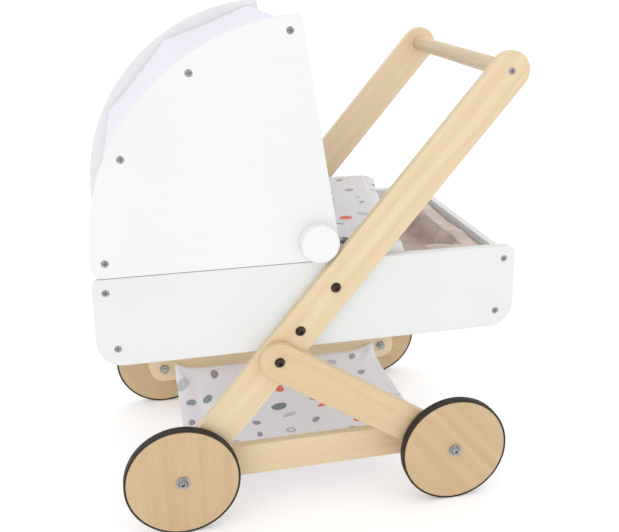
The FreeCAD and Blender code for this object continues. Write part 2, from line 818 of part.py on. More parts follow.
mirror(make_pivot_board(), "pivot_board_right")
insert = make_ring("insert_master", "insert_radius", "board")
frame_bolt = make_bolt("frame_bolt_master", "3 * board + nut_height + bolt_tail")
leg_bolt = make_bolt("leg_bolt_master", "2 * board + nut_height + bolt_tail")
doc.recompute()
group("pivot_inserts", insert,
      [outward(HINGE_X, PIVOT_BOARD_IN, HINGE_Z, side) for side in (LEFT, RIGHT)])
group("frame_bolts", frame_bolt,
      [outward(x, BAR_OUT, z, side, SOCKET_TURN)
       for x, z in FRAME_BOLTS for side in (LEFT, RIGHT)])
group("frame_nuts", nut_master,
      [outward(x, PIVOT_BOARD_IN - NUT_BACK, z, side)
       for x, z in FRAME_BOLTS for side in (LEFT, RIGHT)])
group("leg_bolts", leg_bolt,
      [outward(LEG_PIVOT_X, LEG_OUT, LEG_PIVOT_Z, side, SOCKET_TURN)
       for side in (LEFT, RIGHT)])
group("leg_nuts", nut_master,
      [outward(LEG_PIVOT_X, SIDE_OUT - NUT_BACK, LEG_PIVOT_Z, side, FLATS_LEVEL)
       for side in (LEFT, RIGHT)])


# ---------------------------------------------------------------- hood
HOOD_OUT = SIDE_OUT - size("hood_gap")
HOOD_IN = HOOD_OUT - size("hood_board")


def make_hood_side():
    """A sector about the hinge: a big arc, a straight back edge and a rounded heel."""
    body = new_body("hood_side_body")
    radius, heel = size("hood_radius"), size("hood_heel")
    lean = math.radians(size("hood_back_angle"))
    heel_point = Vector(heel * math.cos(lean), heel * math.sin(lean), 0)
    reach = math.sqrt(radius ** 2 - heel ** 2)
    top_point = heel_point + Vector(-math.sin(lean), math.cos(lean), 0) * reach
    front_point = Vector(-reach, -heel, 0)
    outline = new_sketch(body, "XZ_Plane")
    arc = outline.addGeometry(Part.ArcOfCircle(
        Part.Circle(Vector(0, 0, 0), Z_AXIS, radius),
        math.atan2(top_point.y, top_point.x),
        math.atan2(front_point.y, front_point.x) + 2 * math.pi))
    sole = outline.addGeometry(Part.LineSegment(front_point, Vector(0, -heel, 0)))
    heel_arc = outline.addGeometry(Part.ArcOfCircle(
        Part.Circle(Vector(0, 0, 0), Z_AXIS, heel), -math.pi / 2, lean))
    back = outline.addGeometry(Part.LineSegment(heel_point, top_point))
    constrain(outline, "Coincident", arc, 3, -1, 1)
    constrain(outline, "Coincident", heel_arc, 3, -1, 1)
    constrain(outline, "Radius", arc, radius, name="sweep", formula="hood_radius")
    constrain(outline, "Radius", heel_arc, heel, name="heel", formula="hood_heel")
    constrain(outline, "Coincident", arc, 2, sole, 1)
    constrain(outline, "Tangent", sole, 2, heel_arc, 1)
    constrain(outline, "Tangent", heel_arc, 2, back, 1)
    constrain(outline, "Coincident", back, 2, arc, 1)
    constrain(outline, "Horizontal", sole)
    constrain(outline, "Angle", back, math.pi / 2 + lean, name="back_lean",
              formula="90 deg + hood_back_angle * 1 deg")
    pad(body, outline, "hood_board")
    fillet(body, upright_edge_near(top_point.x, top_point.y), "hood_top_corner")
    fillet(body, upright_edge_near(front_point.x, front_point.y), "hood_front_corner")
    ease(body)
    holes = new_sketch(body, "XZ_Plane", "bolt")
    round_hole(holes, "hinge", "0", "0", BOLT_HOLE, (0.0, 0.0), size("bolt_radius"))
    cut_through(body, holes)
    body.Placement = turned(HINGE_X, LEFT * (HOOD_OUT + HOOD_IN) / 2, HINGE_Z)
    doc.recompute()
    places = []
    for angle in BATTEN_ANGLES:
        x, z = on_hood(size("batten_ring"), angle)
        places.append(outward(x, HOOD_OUT, z, LEFT))
    return bored(body, places, "hood_side_left")


mirror(make_hood_side(), "hood_side_right")

hood_screws = []
for number, angle in enumerate(BATTEN_ANGLES, start=1):
    x, z = on_hood(size("batten_ring"), angle)
    rod = make_dowel(f"batten_rod_{number}", "batten_radius",
                     "basket_half_width - hood_gap - hood_board", x, z)
    ends = [outward(x, HOOD_OUT, z, side) for side in (LEFT, RIGHT)]
    bored(rod, ends, f"hood_batten_{number}")
    hood_screws += ends
group("hood_screws", screw_master, hood_screws)


def make_hood_cover():
    """Cloth drawn tight over the battens: flat between them and bent at each."""
    body = new_body("hood_cover")
    half_step = math.radians(size("batten_step") / 2)
    ring = size("batten_ring")
    inner = ring + (size("batten_radius") + size("cover_gap")) / math.cos(half_step)
    outer = inner + size("cover_cloth")
    inner_formula = "batten_ring + (batten_radius + cover_gap) / cos(batten_step * 0.5 deg)"
    outer_formula = f"({inner_formula} + cover_cloth)"
    overhang = math.degrees(size("cover_overhang") / inner)
    overhang_formula = f"(cover_overhang / ({inner_formula}) * 180 / pi)"
    turns = [("batten_first - " + overhang_formula, BATTEN_ANGLES[0] - overhang)]
    for step, angle in enumerate(BATTEN_ANGLES):
        turns.append((f"batten_first + {step} * batten_step", angle))
    turns.append((f"batten_first + 3 * batten_step + {overhang_formula}",
                  BATTEN_ANGLES[-1] + overhang))
    corners = []
    for radius, radius_formula, ordered in ((inner, inner_formula, turns),
                                            (outer, outer_formula, turns[::-1])):
        for formula, angle in ordered:
            corners.append((f"({radius_formula}) * cos(({formula}) * 1 deg)",
                            f"({radius_formula}) * sin(({formula}) * 1 deg)",
                            radius * math.cos(math.radians(angle)),
                            radius * math.sin(math.radians(angle))))
    outline = new_sketch(body, "XZ_Plane")
    polygon(outline, corners)
    pad(body, outline, "2 * (basket_half_width - hood_gap - hood_board - cover_gap)")
    body.Placement = turned(HINGE_X, 0, HINGE_Z)
    return keep(body, "hood_cover")


make_hood_cover()


# ---------------------------------------------------------------- clamping knobs of the hood
def make_knob(side_name, side):
    """A round wooden knob glued on the end of the bolt that the hood turns on."""
    start = SIDE_OUT - size("hood_gap") + size("knob_gap")
    disc = new_body(f"knob_{side_name}_body")
    outline = new_sketch(disc, "XZ_Plane")
    round_hole(outline, "rim", "0", "0", "knob_radius", (0.0, 0.0), size("knob_radius"))
    pad(disc, outline, "knob_length")
    half = size("knob_length") / 2
    face = side * half
    fillet(disc, lambda edge: edge.BoundBox.YLength < 1e-6
           and abs(edge.BoundBox.YMin - face) < 1e-6, "knob_ease")
    disc.Placement = turned(HINGE_X, side * (start + half), HINGE_Z)
    tool = primitive("Cylinder", f"knob_{side_name}_socket",
                     Radius=BOLT_HOLE, Height="knob_socket + tool_margin")
    tool.Placement = outward(HINGE_X, start - size("tool_margin"), HINGE_Z, side)
    keep(cut(f"knob_{side_name}_cut", disc, tool), f"hood_knob_{side_name}")

    bolt = primitive("Cylinder", f"knob_bolt_{side_name}", Radius="bolt_radius",
                     Height="knob_socket + knob_gap - hood_gap + 2 * board + bolt_tail")
    inner_end = PIVOT_BOARD_IN - size("bolt_tail")
    bolt.Placement = outward(HINGE_X, inner_end, HINGE_Z, side)
    keep(bolt, f"knob_bolt_{side_name}")


make_knob("left", LEFT)
make_knob("right", RIGHT)


# ---------------------------------------------------------------- tray cloth
def sag_section(x, sag):
    """A strip of cloth seen along X, hanging as an arc between the two rails."""
    half, top, cloth = size("tray_half_width"), size("tray_edge_z"), size("tray_cloth")
    upper = Part.Arc(Vector(x, -half, top), Vector(x, 0, top - sag), Vector(x, half, top))
    lower = Part.Arc(Vector(x, half, top - cloth), Vector(x, 0, top - sag - cloth),
                     Vector(x, -half, top - cloth))
    near = Part.LineSegment(Vector(x, half, top), Vector(x, half, top - cloth))
    far = Part.LineSegment(Vector(x, -half, top - cloth), Vector(x, -half, top))
    return Part.Wire([upper.toShape(), near.toShape(), lower.toShape(), far.toShape()])


def make_tray():
    """The cloth sags more at the front than at the back and hangs from four corner tabs.

    Each tab has an eyelet for its screw, and the sheet is cut away round the screw's head.
    """
    half, wide = size("tray_half_length"), size("tray_half_width")
    cloth = Part.makeLoft([sag_section(-half, size("tray_front_sag")),
                           sag_section(half, size("tray_back_sag"))], True, True)
    tab, thick, margin = size("tray_tab"), size("tray_cloth"), size("tool_margin")
    eyelet = size("screw_radius") + size("screw_play")
    head_room = size("screw_head_radius") + size("tray_head_play")
    for end in (-1, 1):
        for side in (LEFT, RIGHT):
            middle = Vector(end * (half - tab / 2), side * wide, AXLE_Z)
            inwards = Y_AXIS * -side
            corner = Vector(middle.x - tab / 2, min(side * wide, side * (wide - thick)),
                            AXLE_Z - thick)
            plate = Part.makeBox(tab, thick, tab / 2 + thick + margin, corner)
            hole = Part.makeCylinder(eyelet, thick + 2 * margin,
                                     middle - inwards * margin, inwards)
            room = Part.makeCylinder(head_room, size("screw_head_height") + margin,
                                     middle + inwards * thick, inwards)
            cloth = cloth.fuse(plate).cut(hole).cut(room)
    tray = doc.addObject("Part::Feature", "tray_cloth")
    tray.Shape = cloth.removeSplitter()
    tray.Placement = Placement()
    return keep(tray, "tray_cloth")


make_tray()
TRAY_SCREW_X = size("tray_half_length") - size("tray_tab") / 2
pin = primitive("Cylinder", "tray_screw_pin", Radius="screw_radius", Height="tray_screw_length")
pin.setExpression("Placement.Base.z", in_sheet("-1 * tray_screw_length"))
pan = primitive("Cylinder", "tray_screw_pan", Radius="screw_head_radius",
                Height="screw_head_height")
tray_screw = fuse("tray_screw_master", pin, pan)
doc.recompute()
TRAY_HEAD = size("tray_half_width") - size("tray_cloth")
group("tray_screws", tray_screw,
      [Placement(Vector(end * TRAY_SCREW_X, side * TRAY_HEAD, AXLE_Z),
                 Rotation(X_AXIS, 90.0 * side))
       for end in (-1, 1) for side in (LEFT, RIGHT)])


# ---------------------------------------------------------------- bedding
def trapezoid_block(name, z_low, z_high, half_low, half_high, half_width):
    """A block whose ends lean outwards, given by its half lengths at bottom and top."""
    wedge = doc.addObject("Part::Wedge", name)
    wedge.Xmin, wedge.Xmax = -half_low, half_low
    wedge.X2min, wedge.X2max = -half_high, half_high
    wedge.Ymin, wedge.Ymax = z_low, z_high
    wedge.Zmin, wedge.Zmax = -half_width, half_width
    wedge.Z2min, wedge.Z2max = -half_width, half_width
    wedge.Placement = turned(0, 0, 0, X_AXIS, 90.0)
    return wedge


def make_liner():
    """A padded nest with raised sides and a higher roll at the rear end board."""
    low, high, roll = size("liner_bottom"), size("liner_top"), size("liner_roll_top")
    lean_half = BOARD / 2 / math.cos(math.radians(size("end_lean"))) + size("liner_end_gap")
    width = SIDE_IN - size("liner_side_gap")
    outer = trapezoid_block("liner_outer", low, high, end_board_x(low) - lean_half,
                            end_board_x(high) - lean_half, width)
    tall = trapezoid_block("liner_tall", low, roll, end_board_x(low) - lean_half,
                           end_board_x(roll) - lean_half, width)
    ahead = primitive("Box", "liner_roll_room",
                      Length="side_length / 2 + liner_roll_start",
                      Width="2 * basket_half_width", Height="side_height")
    ahead.Placement = turned(-size("side_length") / 2, -size("basket_half_width"),
                             low - size("tool_margin"))
    outer = fuse("liner_body", outer, cut("liner_roll", tall, ahead))
    base, rim = low + size("liner_base"), size("liner_rim")
    above = roll + size("tool_margin")
    hollow = trapezoid_block("liner_hollow", base, above,
                             end_board_x(base) - lean_half - rim,
                             end_board_x(above) - lean_half - rim,
                             size("liner_notch_half_width") - rim)
    nest = cut("liner_nest", outer, hollow)
    notches = []
    for side_name, side in (("left", LEFT), ("right", RIGHT)):
        notch = primitive("Box", f"liner_notch_{side_name}",
                          Length="2 * (pivot_board_half + liner_notch_play)",
                          Width="basket_half_width - liner_notch_half_width",
                          Height="side_height")
        near = size("liner_notch_half_width") if side == RIGHT else -SIDE_OUT
        start = size("pivot_board_x") - size("pivot_board_half") - size("liner_notch_play")
        notch.Placement = turned(start, near, low - size("tool_margin"))
        notches.append(notch)
    return keep(cut("liner_notched", nest, fuse("liner_notches", *notches)), "plush_liner")


make_liner()


def quilt_plate(name, bottom, top, half, front):
    """A flat plate of the quilt; its back edge runs askew across the basket."""
    left_x, right_x = size("quilt_back_left_x"), size("quilt_back_right_x")
    body = new_body(name)
    outline = new_sketch(body, "XY_Plane")
    polygon(outline, [
        (front, f"-1 * {half}", size(front), -size(half)),
        ("quilt_back_left_x", f"-1 * {half}", left_x, -size(half)),
        ("quilt_back_right_x", half, right_x, size(half)),
        (front, half, size(front), size(half)),
    ])
    pad(body, outline, f"{top} - {bottom}", midplane=False)
    body.Placement = turned(0, 0, size(bottom))
    return body


quilt_core = quilt_plate("quilt_core", "quilt_bottom", "quilt_top",
                         "quilt_half_width", "quilt_front_x")
quilt_flange = quilt_plate("quilt_flange", "quilt_flange_bottom", "quilt_top",
                           "quilt_flange_half", "quilt_flange_front_x")
keep(fuse("quilt_solid", quilt_core, quilt_flange), "quilt")


# ---------------------------------------------------------------- test and write
doc.recompute()
for obj in doc.Objects:
    if "Invalid" in obj.State or "Error" in obj.State:
        raise RuntimeError(f"{obj.Label} did not compute: {obj.State}")
for piece in PARTS:
    if piece.Shape.isNull() or not piece.Shape.isValid():
        raise RuntimeError(f"{piece.Label} has no valid shape")

os.makedirs("parts", exist_ok=True)
for piece in PARTS:
    piece.Shape.exportStep(os.path.join("parts", piece.Label + ".step"))
    print(f"{piece.Label:24s} solids {len(piece.Shape.Solids)}  "
          f"volume {piece.Shape.Volume / 1000:8.2f} cm3")
print(len(PARTS), "nodes")
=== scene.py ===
# %% [markdown]
# # A wooden doll's pram
#
# The boards, bars, wheels, bolts and screws come ready made from the CAD model, each as its
# own node.  This lesson gives every one of them a finish and then sews the four soft pieces:
# the hood's cover, the cloth tray, the plush nest and the quilt.
#
# All lengths are metres.  +X points back to the child who pushes the pram, +Y to that child's
# right, +Z up, and the origin lies on the floor under the middle of the basket.

# %% Load the ready-made pieces
import math

import bmesh
import bpy
import numpy as np
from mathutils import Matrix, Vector, noise
from mathutils.bvhtree import BVHTree


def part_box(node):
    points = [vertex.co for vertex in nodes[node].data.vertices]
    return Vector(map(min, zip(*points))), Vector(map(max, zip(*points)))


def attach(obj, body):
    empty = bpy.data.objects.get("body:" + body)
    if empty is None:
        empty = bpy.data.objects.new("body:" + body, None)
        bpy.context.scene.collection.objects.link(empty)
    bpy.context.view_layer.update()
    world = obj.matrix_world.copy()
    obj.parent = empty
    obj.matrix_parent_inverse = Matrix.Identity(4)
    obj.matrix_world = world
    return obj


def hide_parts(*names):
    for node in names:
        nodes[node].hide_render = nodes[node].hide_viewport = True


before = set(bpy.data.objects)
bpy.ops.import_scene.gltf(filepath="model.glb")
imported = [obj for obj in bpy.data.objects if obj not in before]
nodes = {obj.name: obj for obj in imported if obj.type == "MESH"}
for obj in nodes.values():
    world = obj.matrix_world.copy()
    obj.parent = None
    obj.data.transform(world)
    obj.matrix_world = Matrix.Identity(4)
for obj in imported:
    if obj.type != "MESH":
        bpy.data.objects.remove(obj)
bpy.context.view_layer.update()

MM = 0.001
scene = bpy.context.scene
print(len(nodes), "pieces from the CAD model")


# %% [markdown]
# ## A short way to write node trees
#
# Materials and Geometry Nodes are both trees of small boxes joined by wires.  Adding each box
# by hand takes four or five lines, so helpers do it: `add` makes a node and fills its inputs,
# `wire` fills more of them, and `Flow` is a number running through the tree on which ordinary
# arithmetic works.  The formulas below can then be read as formulas.

# %% Helpers for node trees
def plug(tree, value, socket):
    """Wire a flow or a socket into a socket, or set the socket to a plain value."""
    if isinstance(value, Flow):
        value = value.source
    if isinstance(value, bpy.types.NodeSocket):
        tree.links.new(value, socket)
    else:
        socket.default_value = value


def add(tree, kind, sockets=None, **settings):
    """Add a node, choose its options, and fill its inputs by name or number."""
    made = tree.nodes.new(kind)
    for name, value in settings.items():
        setattr(made, name, value)
    for key, value in (sockets or {}).items():
        plug(tree, value, made.inputs[key])
    return made


def wire(tree, target, **values):
    """Fill several inputs of a node by name, with _ for a space."""
    for name, value in values.items():
        plug(tree, value, target.inputs[name.replace("_", " ")])


class Flow:
    """A number running through a node tree; arithmetic on it adds Math nodes."""

    def __init__(self, tree, source):
        self.tree, self.source = tree, source

    def math(self, operation, *others, first=None):
        terms = (self, *others) if first is None else (first, self)
        made = add(self.tree, "ShaderNodeMath", dict(enumerate(terms)), operation=operation)
        return Flow(self.tree, made.outputs[0])

    def __add__(self, other):
        return self.math("ADD", other)

    def __sub__(self, other):
        return self.math("SUBTRACT", other)

    def __mul__(self, other):
        return self.math("MULTIPLY", other)

    def __truediv__(self, other):
        return self.math("DIVIDE", other)

    def __rsub__(self, other):
        return self.math("SUBTRACT", first=other)

    def __rtruediv__(self, other):
        return self.math("DIVIDE", first=other)

    __radd__ = __add__

    def within(self, low, high):
        """0 at low and 1 at high, clamped between them."""
        made = add(self.tree, "ShaderNodeMapRange", {"Value": self, "From Min": low,
                                                     "From Max": high})
        return Flow(self.tree, made.outputs[0])


def scaled(tree, vector, factors):
    """Multiply a vector by three plain numbers."""
    return add(tree, "ShaderNodeVectorMath", {0: vector, 1: factors},
               operation="MULTIPLY").outputs[0]


def mottle(tree, vector, scale, detail=2.0, rough=0.5):
    """Smooth noise around 0.5."""
    made = add(tree, "ShaderNodeTexNoise", {"Vector": vector, "Scale": scale,
                                            "Detail": detail, "Roughness": rough})
    return Flow(tree, made.outputs["Fac"])


def mixed(tree, factor, first, second):
    """Mix two colours."""
    made = add(tree, "ShaderNodeMix", {0: factor, 6: first, 7: second}, data_type="RGBA")
    return made.outputs[2]


def parts(tree, vector):
    """The three numbers of a vector, as flows."""
    made = add(tree, "ShaderNodeSeparateXYZ", {0: vector})
    return [Flow(tree, socket) for socket in made.outputs]


def object_place(tree):
    """The place of each point on the piece itself, in metres."""
    return add(tree, "ShaderNodeTexCoord").outputs["Object"]


def new_group(name, inputs, outputs, kind="ShaderNodeTree"):
    """A node group with named sockets: (tree, its inputs as flows, its output node)."""
    tree = bpy.data.node_groups.new(name, kind)
    for way, sockets in (("INPUT", inputs), ("OUTPUT", outputs)):
        for label, (socket_kind, start) in sockets.items():
            socket = tree.interface.new_socket(label, in_out=way,
                                               socket_type="NodeSocket" + socket_kind)
            if start is not None:
                socket.default_value = start
    source = tree.nodes.new("NodeGroupInput")
    sink = tree.nodes.new("NodeGroupOutput")
    return tree, {label: Flow(tree, source.outputs[label]) for label in inputs}, sink


def rgb(red, green, blue):
    """A colour as a paint chart gives it, 0 to 255, in the linear values that nodes use."""
    linear = [((c / 255 + 0.055) / 1.055) ** 2.4 for c in (red, green, blue)]
    return (*linear, 1.0)


# %% [markdown]
# ## Effects that several finishes share
#
# Six things turn up in more than one material, so each is a node group that is built once:
# straight wood grain, the soft wear along edges, the painted shade in recesses, plain
# weave, the scattered stones printed on the cotton, and the pile of the plush.  A group gives
# out only masks, heights and colours; the shader that uses them stays in the material.
#
# Wood could be a ring texture cut by a plane, but birch boards for toys are peeled or sawn
# along the trunk and show only faint, nearly straight streaks.  Noise stretched along the
# grain gives those, and a second, much finer one gives the fibres and short pores.

# %% Group: straight grain
def make_grain():
    tree, given, sink = new_group(
        "straight_grain", {"Along Grain": ("Vector", None)},
        {"Tone": ("Float", None), "Pores": ("Float", None), "Height": ("Float", None)})
    along = given["Along Grain"]
    drift = mottle(tree, along, 5.0, detail=1.0) - 0.5
    bent = add(tree, "ShaderNodeCombineXYZ", {"Y": drift * 0.02, "Z": drift * 0.02}).outputs[0]
    wavy = add(tree, "ShaderNodeVectorMath", {0: along, 1: bent}, operation="ADD").outputs[0]
    streaks = mottle(tree, scaled(tree, wavy, (2.5, 95, 95)), 1.0, detail=4.0, rough=0.6)
    fibres = mottle(tree, scaled(tree, wavy, (18, 900, 900)), 1.0, detail=2.0)
    dashes = mottle(tree, scaled(tree, wavy, (70, 2300, 2300)), 1.0, detail=0.0)
    pores = dashes.within(0.69, 0.77)
    wire(tree, sink, Tone=streaks.within(0.3, 0.7) * 0.65 + fibres * 0.35, Pores=pores,
         Height=fibres * 0.6 - pores * 0.5)
    return tree


# %% Group: worn edges
def make_wear():
    tree, given, sink = new_group(
        "edge_wear", {"Vector": ("Vector", None), "Reach": ("Float", 0.0015)},
        {"Mask": ("Float", None)})
    rounded = add(tree, "ShaderNodeBevel", {"Radius": given["Reach"]}, samples=4).outputs[0]
    true = add(tree, "ShaderNodeNewGeometry").outputs["Normal"]
    same = Flow(tree, add(tree, "ShaderNodeVectorMath", {0: rounded, 1: true},
                          operation="DOT_PRODUCT").outputs["Value"])
    patchy = mottle(tree, given["Vector"], 60.0, detail=3.0).within(0.35, 0.65)
    wire(tree, sink, Mask=(1.0 - same).within(0.01, 0.12) * patchy)
    return tree


# %% Group: painted shade in recesses
def make_recess():
    tree, given, sink = new_group("recess_shade", {"Reach": ("Float", 0.002)},
                                  {"Mask": ("Float", None)})
    # Painted shade: ambient occlusion finds the hollows that light hardly reaches, and the
    # mask darkens them.
    open_sky = add(tree, "ShaderNodeAmbientOcclusion", {"Distance": given["Reach"]},
                   samples=8, only_local=True).outputs["AO"]
    wire(tree, sink, Mask=(1.0 - Flow(tree, open_sky)).within(0.2, 0.6))
    return tree


# %% Group: plain weave
def make_weave():
    tree, given, sink = new_group(
        "plain_weave", {"Cut": ("Vector", None), "Thread": ("Float", 0.0005)},
        {"Height": ("Float", None), "Slub": ("Float", None)})
    turns = [(way / given["Thread"] * math.pi).math("COSINE")
             for way in parts(tree, given["Cut"])[:2]]
    warp, weft = [turn.math("ABSOLUTE") for turn in turns]
    crossing = turns[0] * turns[1] * 0.4
    height = (warp * (0.6 + crossing)).math("MAXIMUM", weft * (0.6 - crossing))
    slub = mottle(tree, scaled(tree, given["Cut"], (60, 1100, 1)), 1.0)
    slub = slub + mottle(tree, scaled(tree, given["Cut"], (1100, 60, 1)), 1.0)
    wire(tree, sink, Height=height, Slub=(slub * 0.5).within(0.3, 0.7))
    return tree


# %% [markdown]
# The print is a scatter of pebbles in a few muted colours.  Each could be drawn by hand, but a
# cell texture does it by rule: one pebble sits in each cell, and the cell's own random colour
# decides how long it is, how it is turned, how large it is and what it is coloured.  Left
# alone the cells keep a visible grid, so broad noise pushes them about first.  A few of the
# grey pebbles are only outlines.

# %% Group: printed stones
def make_stones():
    tree, given, sink = new_group(
        "printed_stones", {"Cut": ("Vector", None), "Cell": ("Float", 0.037)},
        {"Color": ("Color", None), "Mask": ("Float", None)})
    place = add(tree, "ShaderNodeVectorMath", {0: given["Cut"], "Scale": 1.0 / given["Cell"]},
                operation="SCALE").outputs[0]
    drift = add(tree, "ShaderNodeTexNoise", {"Vector": place, "Scale": 0.4, "Detail": 1.0})
    push = (1.1, 1.1, 0)
    place = add(tree, "ShaderNodeVectorMath", {0: drift.outputs["Color"], 1: push, 2: place},
                operation="MULTIPLY_ADD").outputs[0]
    cells = add(tree, "ShaderNodeTexVoronoi", {"Vector": place, "Scale": 1.0,
                                               "Randomness": 0.5}, voronoi_dimensions="2D")
    from_middle = add(tree, "ShaderNodeVectorMath", {0: place, 1: cells.outputs["Position"]},
                      operation="SUBTRACT").outputs[0]
    draw = add(tree, "ShaderNodeSeparateColor", {0: cells.outputs["Color"]})
    turn, length, large = [Flow(tree, draw.outputs[band]) for band in range(3)]
    tint = (turn * 7.13 + length * 3.71).math("FRACT")
    ringed = (large * 5.31 + turn * 11.7).math("FRACT")
    turned = add(tree, "ShaderNodeVectorRotate", {"Vector": from_middle,
                                                  "Angle": turn * math.pi},
                 rotation_type="Z_AXIS").outputs[0]
    lengthways, across, _ = parts(tree, turned)
    across = across * (1.0 + length * length * 1.5)
    reach = (lengthways.math("POWER", 2.0) + across.math("POWER", 2.0)).math("SQRT")
    reach = reach + (mottle(tree, place, 4.0) - 0.5) * 0.07
    size = 0.14 + large * 0.11
    inked = (size - reach).within(0.0, 0.02)
    grey = tint.within(0.19, 0.191) - tint.within(0.58, 0.581)
    outline = ringed.within(0.72, 0.73) * grey
    hollow = (size * 0.66 - reach).within(0.0, 0.02) * outline * 0.8
    chart = add(tree, "ShaderNodeValToRGB", {0: tint})
    chart.color_ramp.interpolation = "CONSTANT"
    inks = [(0.0, rgb(240, 112, 84)), (0.19, rgb(176, 165, 170)), (0.4, rgb(205, 204, 208)),
            (0.58, rgb(112, 132, 138)), (0.76, rgb(160, 148, 156)), (0.91, rgb(136, 152, 156))]
    for place_on_chart, ink in inks[1:]:
        chart.color_ramp.elements.new(place_on_chart).color = ink
    chart.color_ramp.elements[0].color = inks[0][1]
    chart.color_ramp.elements[-1].color = inks[-1][1]
    wire(tree, sink, Color=chart.outputs[0], Mask=inked - hollow)
    return tree


# %% [markdown]
# Plush has a short pile that leans one way where a hand has brushed it and the other way next
# to it, so it catches the light in soft light and dark patches; these are painted sheen in its
# colour.  Real hairs would be far too many; two sizes of noise stand for the tufts and a broad
# one for the brushed patches.

# %% Group: soft pile, and build all the groups
def make_pile():
    tree, given, sink = new_group(
        "soft_pile", {"Vector": ("Vector", None)},
        {"Brushed": ("Float", None), "Height": ("Float", None)})
    vector = given["Vector"]
    tufts = mottle(tree, vector, 420.0, detail=3.0, rough=0.7)
    clumps = mottle(tree, vector, 120.0, detail=2.0)
    brushed = mottle(tree, scaled(tree, vector, (1, 1.6, 1)), 26.0, detail=3.0, rough=0.6)
    # Painted sheen: the broad brushed patches and the tufts make the light and dark mask for
    # the colour.
    wire(tree, sink, Brushed=brushed.within(0.3, 0.7) * 0.75 + tufts * 0.25,
         Height=tufts * 0.6 + clumps * 0.4)
    return tree


GRAIN, WEAR, RECESS = make_grain(), make_wear(), make_recess()
WEAVE, STONES, PILE = make_weave(), make_stones(), make_pile()
print("shader groups:", [group.name for group in bpy.data.node_groups])


# %% [markdown]
# ## Finishes
#
# Every finish is a Principled shader whose colour, roughness and bump come from the groups.
# A value that is the same all over is set on the shader itself.

# %% Start a finish
def new_finish(name, **constants):
    """A material with an empty Principled shader: (material, tree, shader)."""
    material = bpy.data.materials.new(name)
    material.use_nodes = True
    tree = material.node_tree
    tree.nodes.clear()
    shader = add(tree, "ShaderNodeBsdfPrincipled")
    wire(tree, shader, **constants)
    add(tree, "ShaderNodeOutputMaterial", {"Surface": shader.outputs[0]})
    return material, tree, shader


def placed(tree, group, **inputs):
    """Put a shared group into a material; returns its outputs."""
    made = add(tree, "ShaderNodeGroup", node_tree=group)
    wire(tree, made, **inputs)
    return {socket.name: Flow(tree, socket) for socket in made.outputs}


def bump(tree, shader, height, depth, strength):
    """Let a height over the surface tilt the shader's normal."""
    made = add(tree, "ShaderNodeBump", {"Height": height, "Distance": depth,
                                        "Strength": strength})
    wire(tree, shader, Normal=made.outputs[0])


# %% [markdown]
# The grain runs along each bar, so the coordinates are first turned until their X lies along
# the piece.  Each piece is also shifted, or every bar would show the same streaks, and each
# kind of piece has its own pair of tones, the light wood and its darker streaks.

# %% Lacquered birch
def birch(name, turn, shift, tone):
    light, dark = tone
    material, tree, shader = new_finish(name, Coat_Weight=0.12, Coat_Roughness=0.3)
    place = object_place(tree)
    along = add(tree, "ShaderNodeMapping", {"Vector": place, "Rotation": turn,
                                            "Location": (shift, shift * 0.7, shift * 1.3)})
    grain = placed(tree, GRAIN, Along_Grain=along.outputs[0])
    wear = placed(tree, WEAR, Vector=place, Reach=1.2 * MM)
    face = mixed(tree, grain["Tone"], rgb(*light), rgb(*dark))
    face = mixed(tree, grain["Pores"] * 0.18, face, rgb(*[c * 0.76 for c in dark]))
    face = mixed(tree, wear["Mask"] * 0.3, face, rgb(*[c * 0.86 for c in dark]))
    wire(tree, shader, Base_Color=face, Roughness=0.36 + grain["Tone"] * 0.12)
    bump(tree, shader, grain["Height"], 0.12 * MM, 0.5)
    return material


def finish(labels, material):
    """Put a material on ready-made pieces."""
    for label in labels:
        for slot in nodes[label].material_slots:
            slot.material = material


def middle(label):
    """The middle of a ready-made piece in side view: its X and Z."""
    low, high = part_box(label)
    return (low.x + high.x) / 2, (low.z + high.z) / 2


SIDES = ("left", "right")
ENDS = ("front", "rear")
BATTENS = [f"hood_batten_{number}" for number in range(1, 5)]
ACROSS = (0, 0, -math.pi / 2)
# The right-hand bar and rail get lighter tones than the left ones: painted light, making up
# for the shade they stand in on the far side.
TONES = {"bar_left": ((233, 213, 180), (218, 191, 151)),
         "bar_right": ((240, 219, 187), (226, 200, 161)),
         "rail_left": ((233, 212, 179), (219, 193, 154)),
         "rail_right": ((240, 219, 187), (226, 200, 161)),
         "leg": ((224, 201, 164), (210, 181, 140)),
         "dowel": ((224, 205, 174), (207, 181, 144)),
         "wheel": ((210, 184, 145), (194, 165, 125))}
axle_x, axle_z = middle("front_axle_bolts")
handle_x, handle_z = middle("handle_dowel")
pivot_x, pivot_z = middle("leg_bolts")
bar_slope = math.atan2(handle_z - axle_z, handle_x - axle_x)
leg_slope = math.atan2(axle_z - pivot_z, -axle_x - pivot_x)
for shift, side in enumerate(SIDES):
    finish([f"push_bar_{side}"], birch(f"birch_bar_{side}", (0, bar_slope, 0), shift + 0.3,
                                       TONES[f"bar_{side}"]))
    finish([f"rear_leg_{side}"], birch(f"birch_leg_{side}", (0, leg_slope, 0), shift + 2.3,
                                       TONES["leg"]))
    finish([f"lower_rail_{side}"], birch(f"birch_rail_{side}", (0, 0, 0), shift + 4.3,
                                         TONES[f"rail_{side}"]))
finish(["handle_dowel", *BATTENS, "front_rail_spacers", "rear_rail_spacers"],
       birch("birch_dowel", ACROSS, 6.3, TONES["dowel"]))
for shift, (end, side) in enumerate((end, side) for end in ENDS for side in SIDES):
    finish([f"{end}_{side}_wheel_disc"],
           birch(f"wheel_ply_{end}_{side}", (0, math.pi / 2 + 0.35 * shift, 0), shift + 8.1,
                 TONES["wheel"]))
print("push bar slope", round(math.degrees(bar_slope), 1), "degrees")
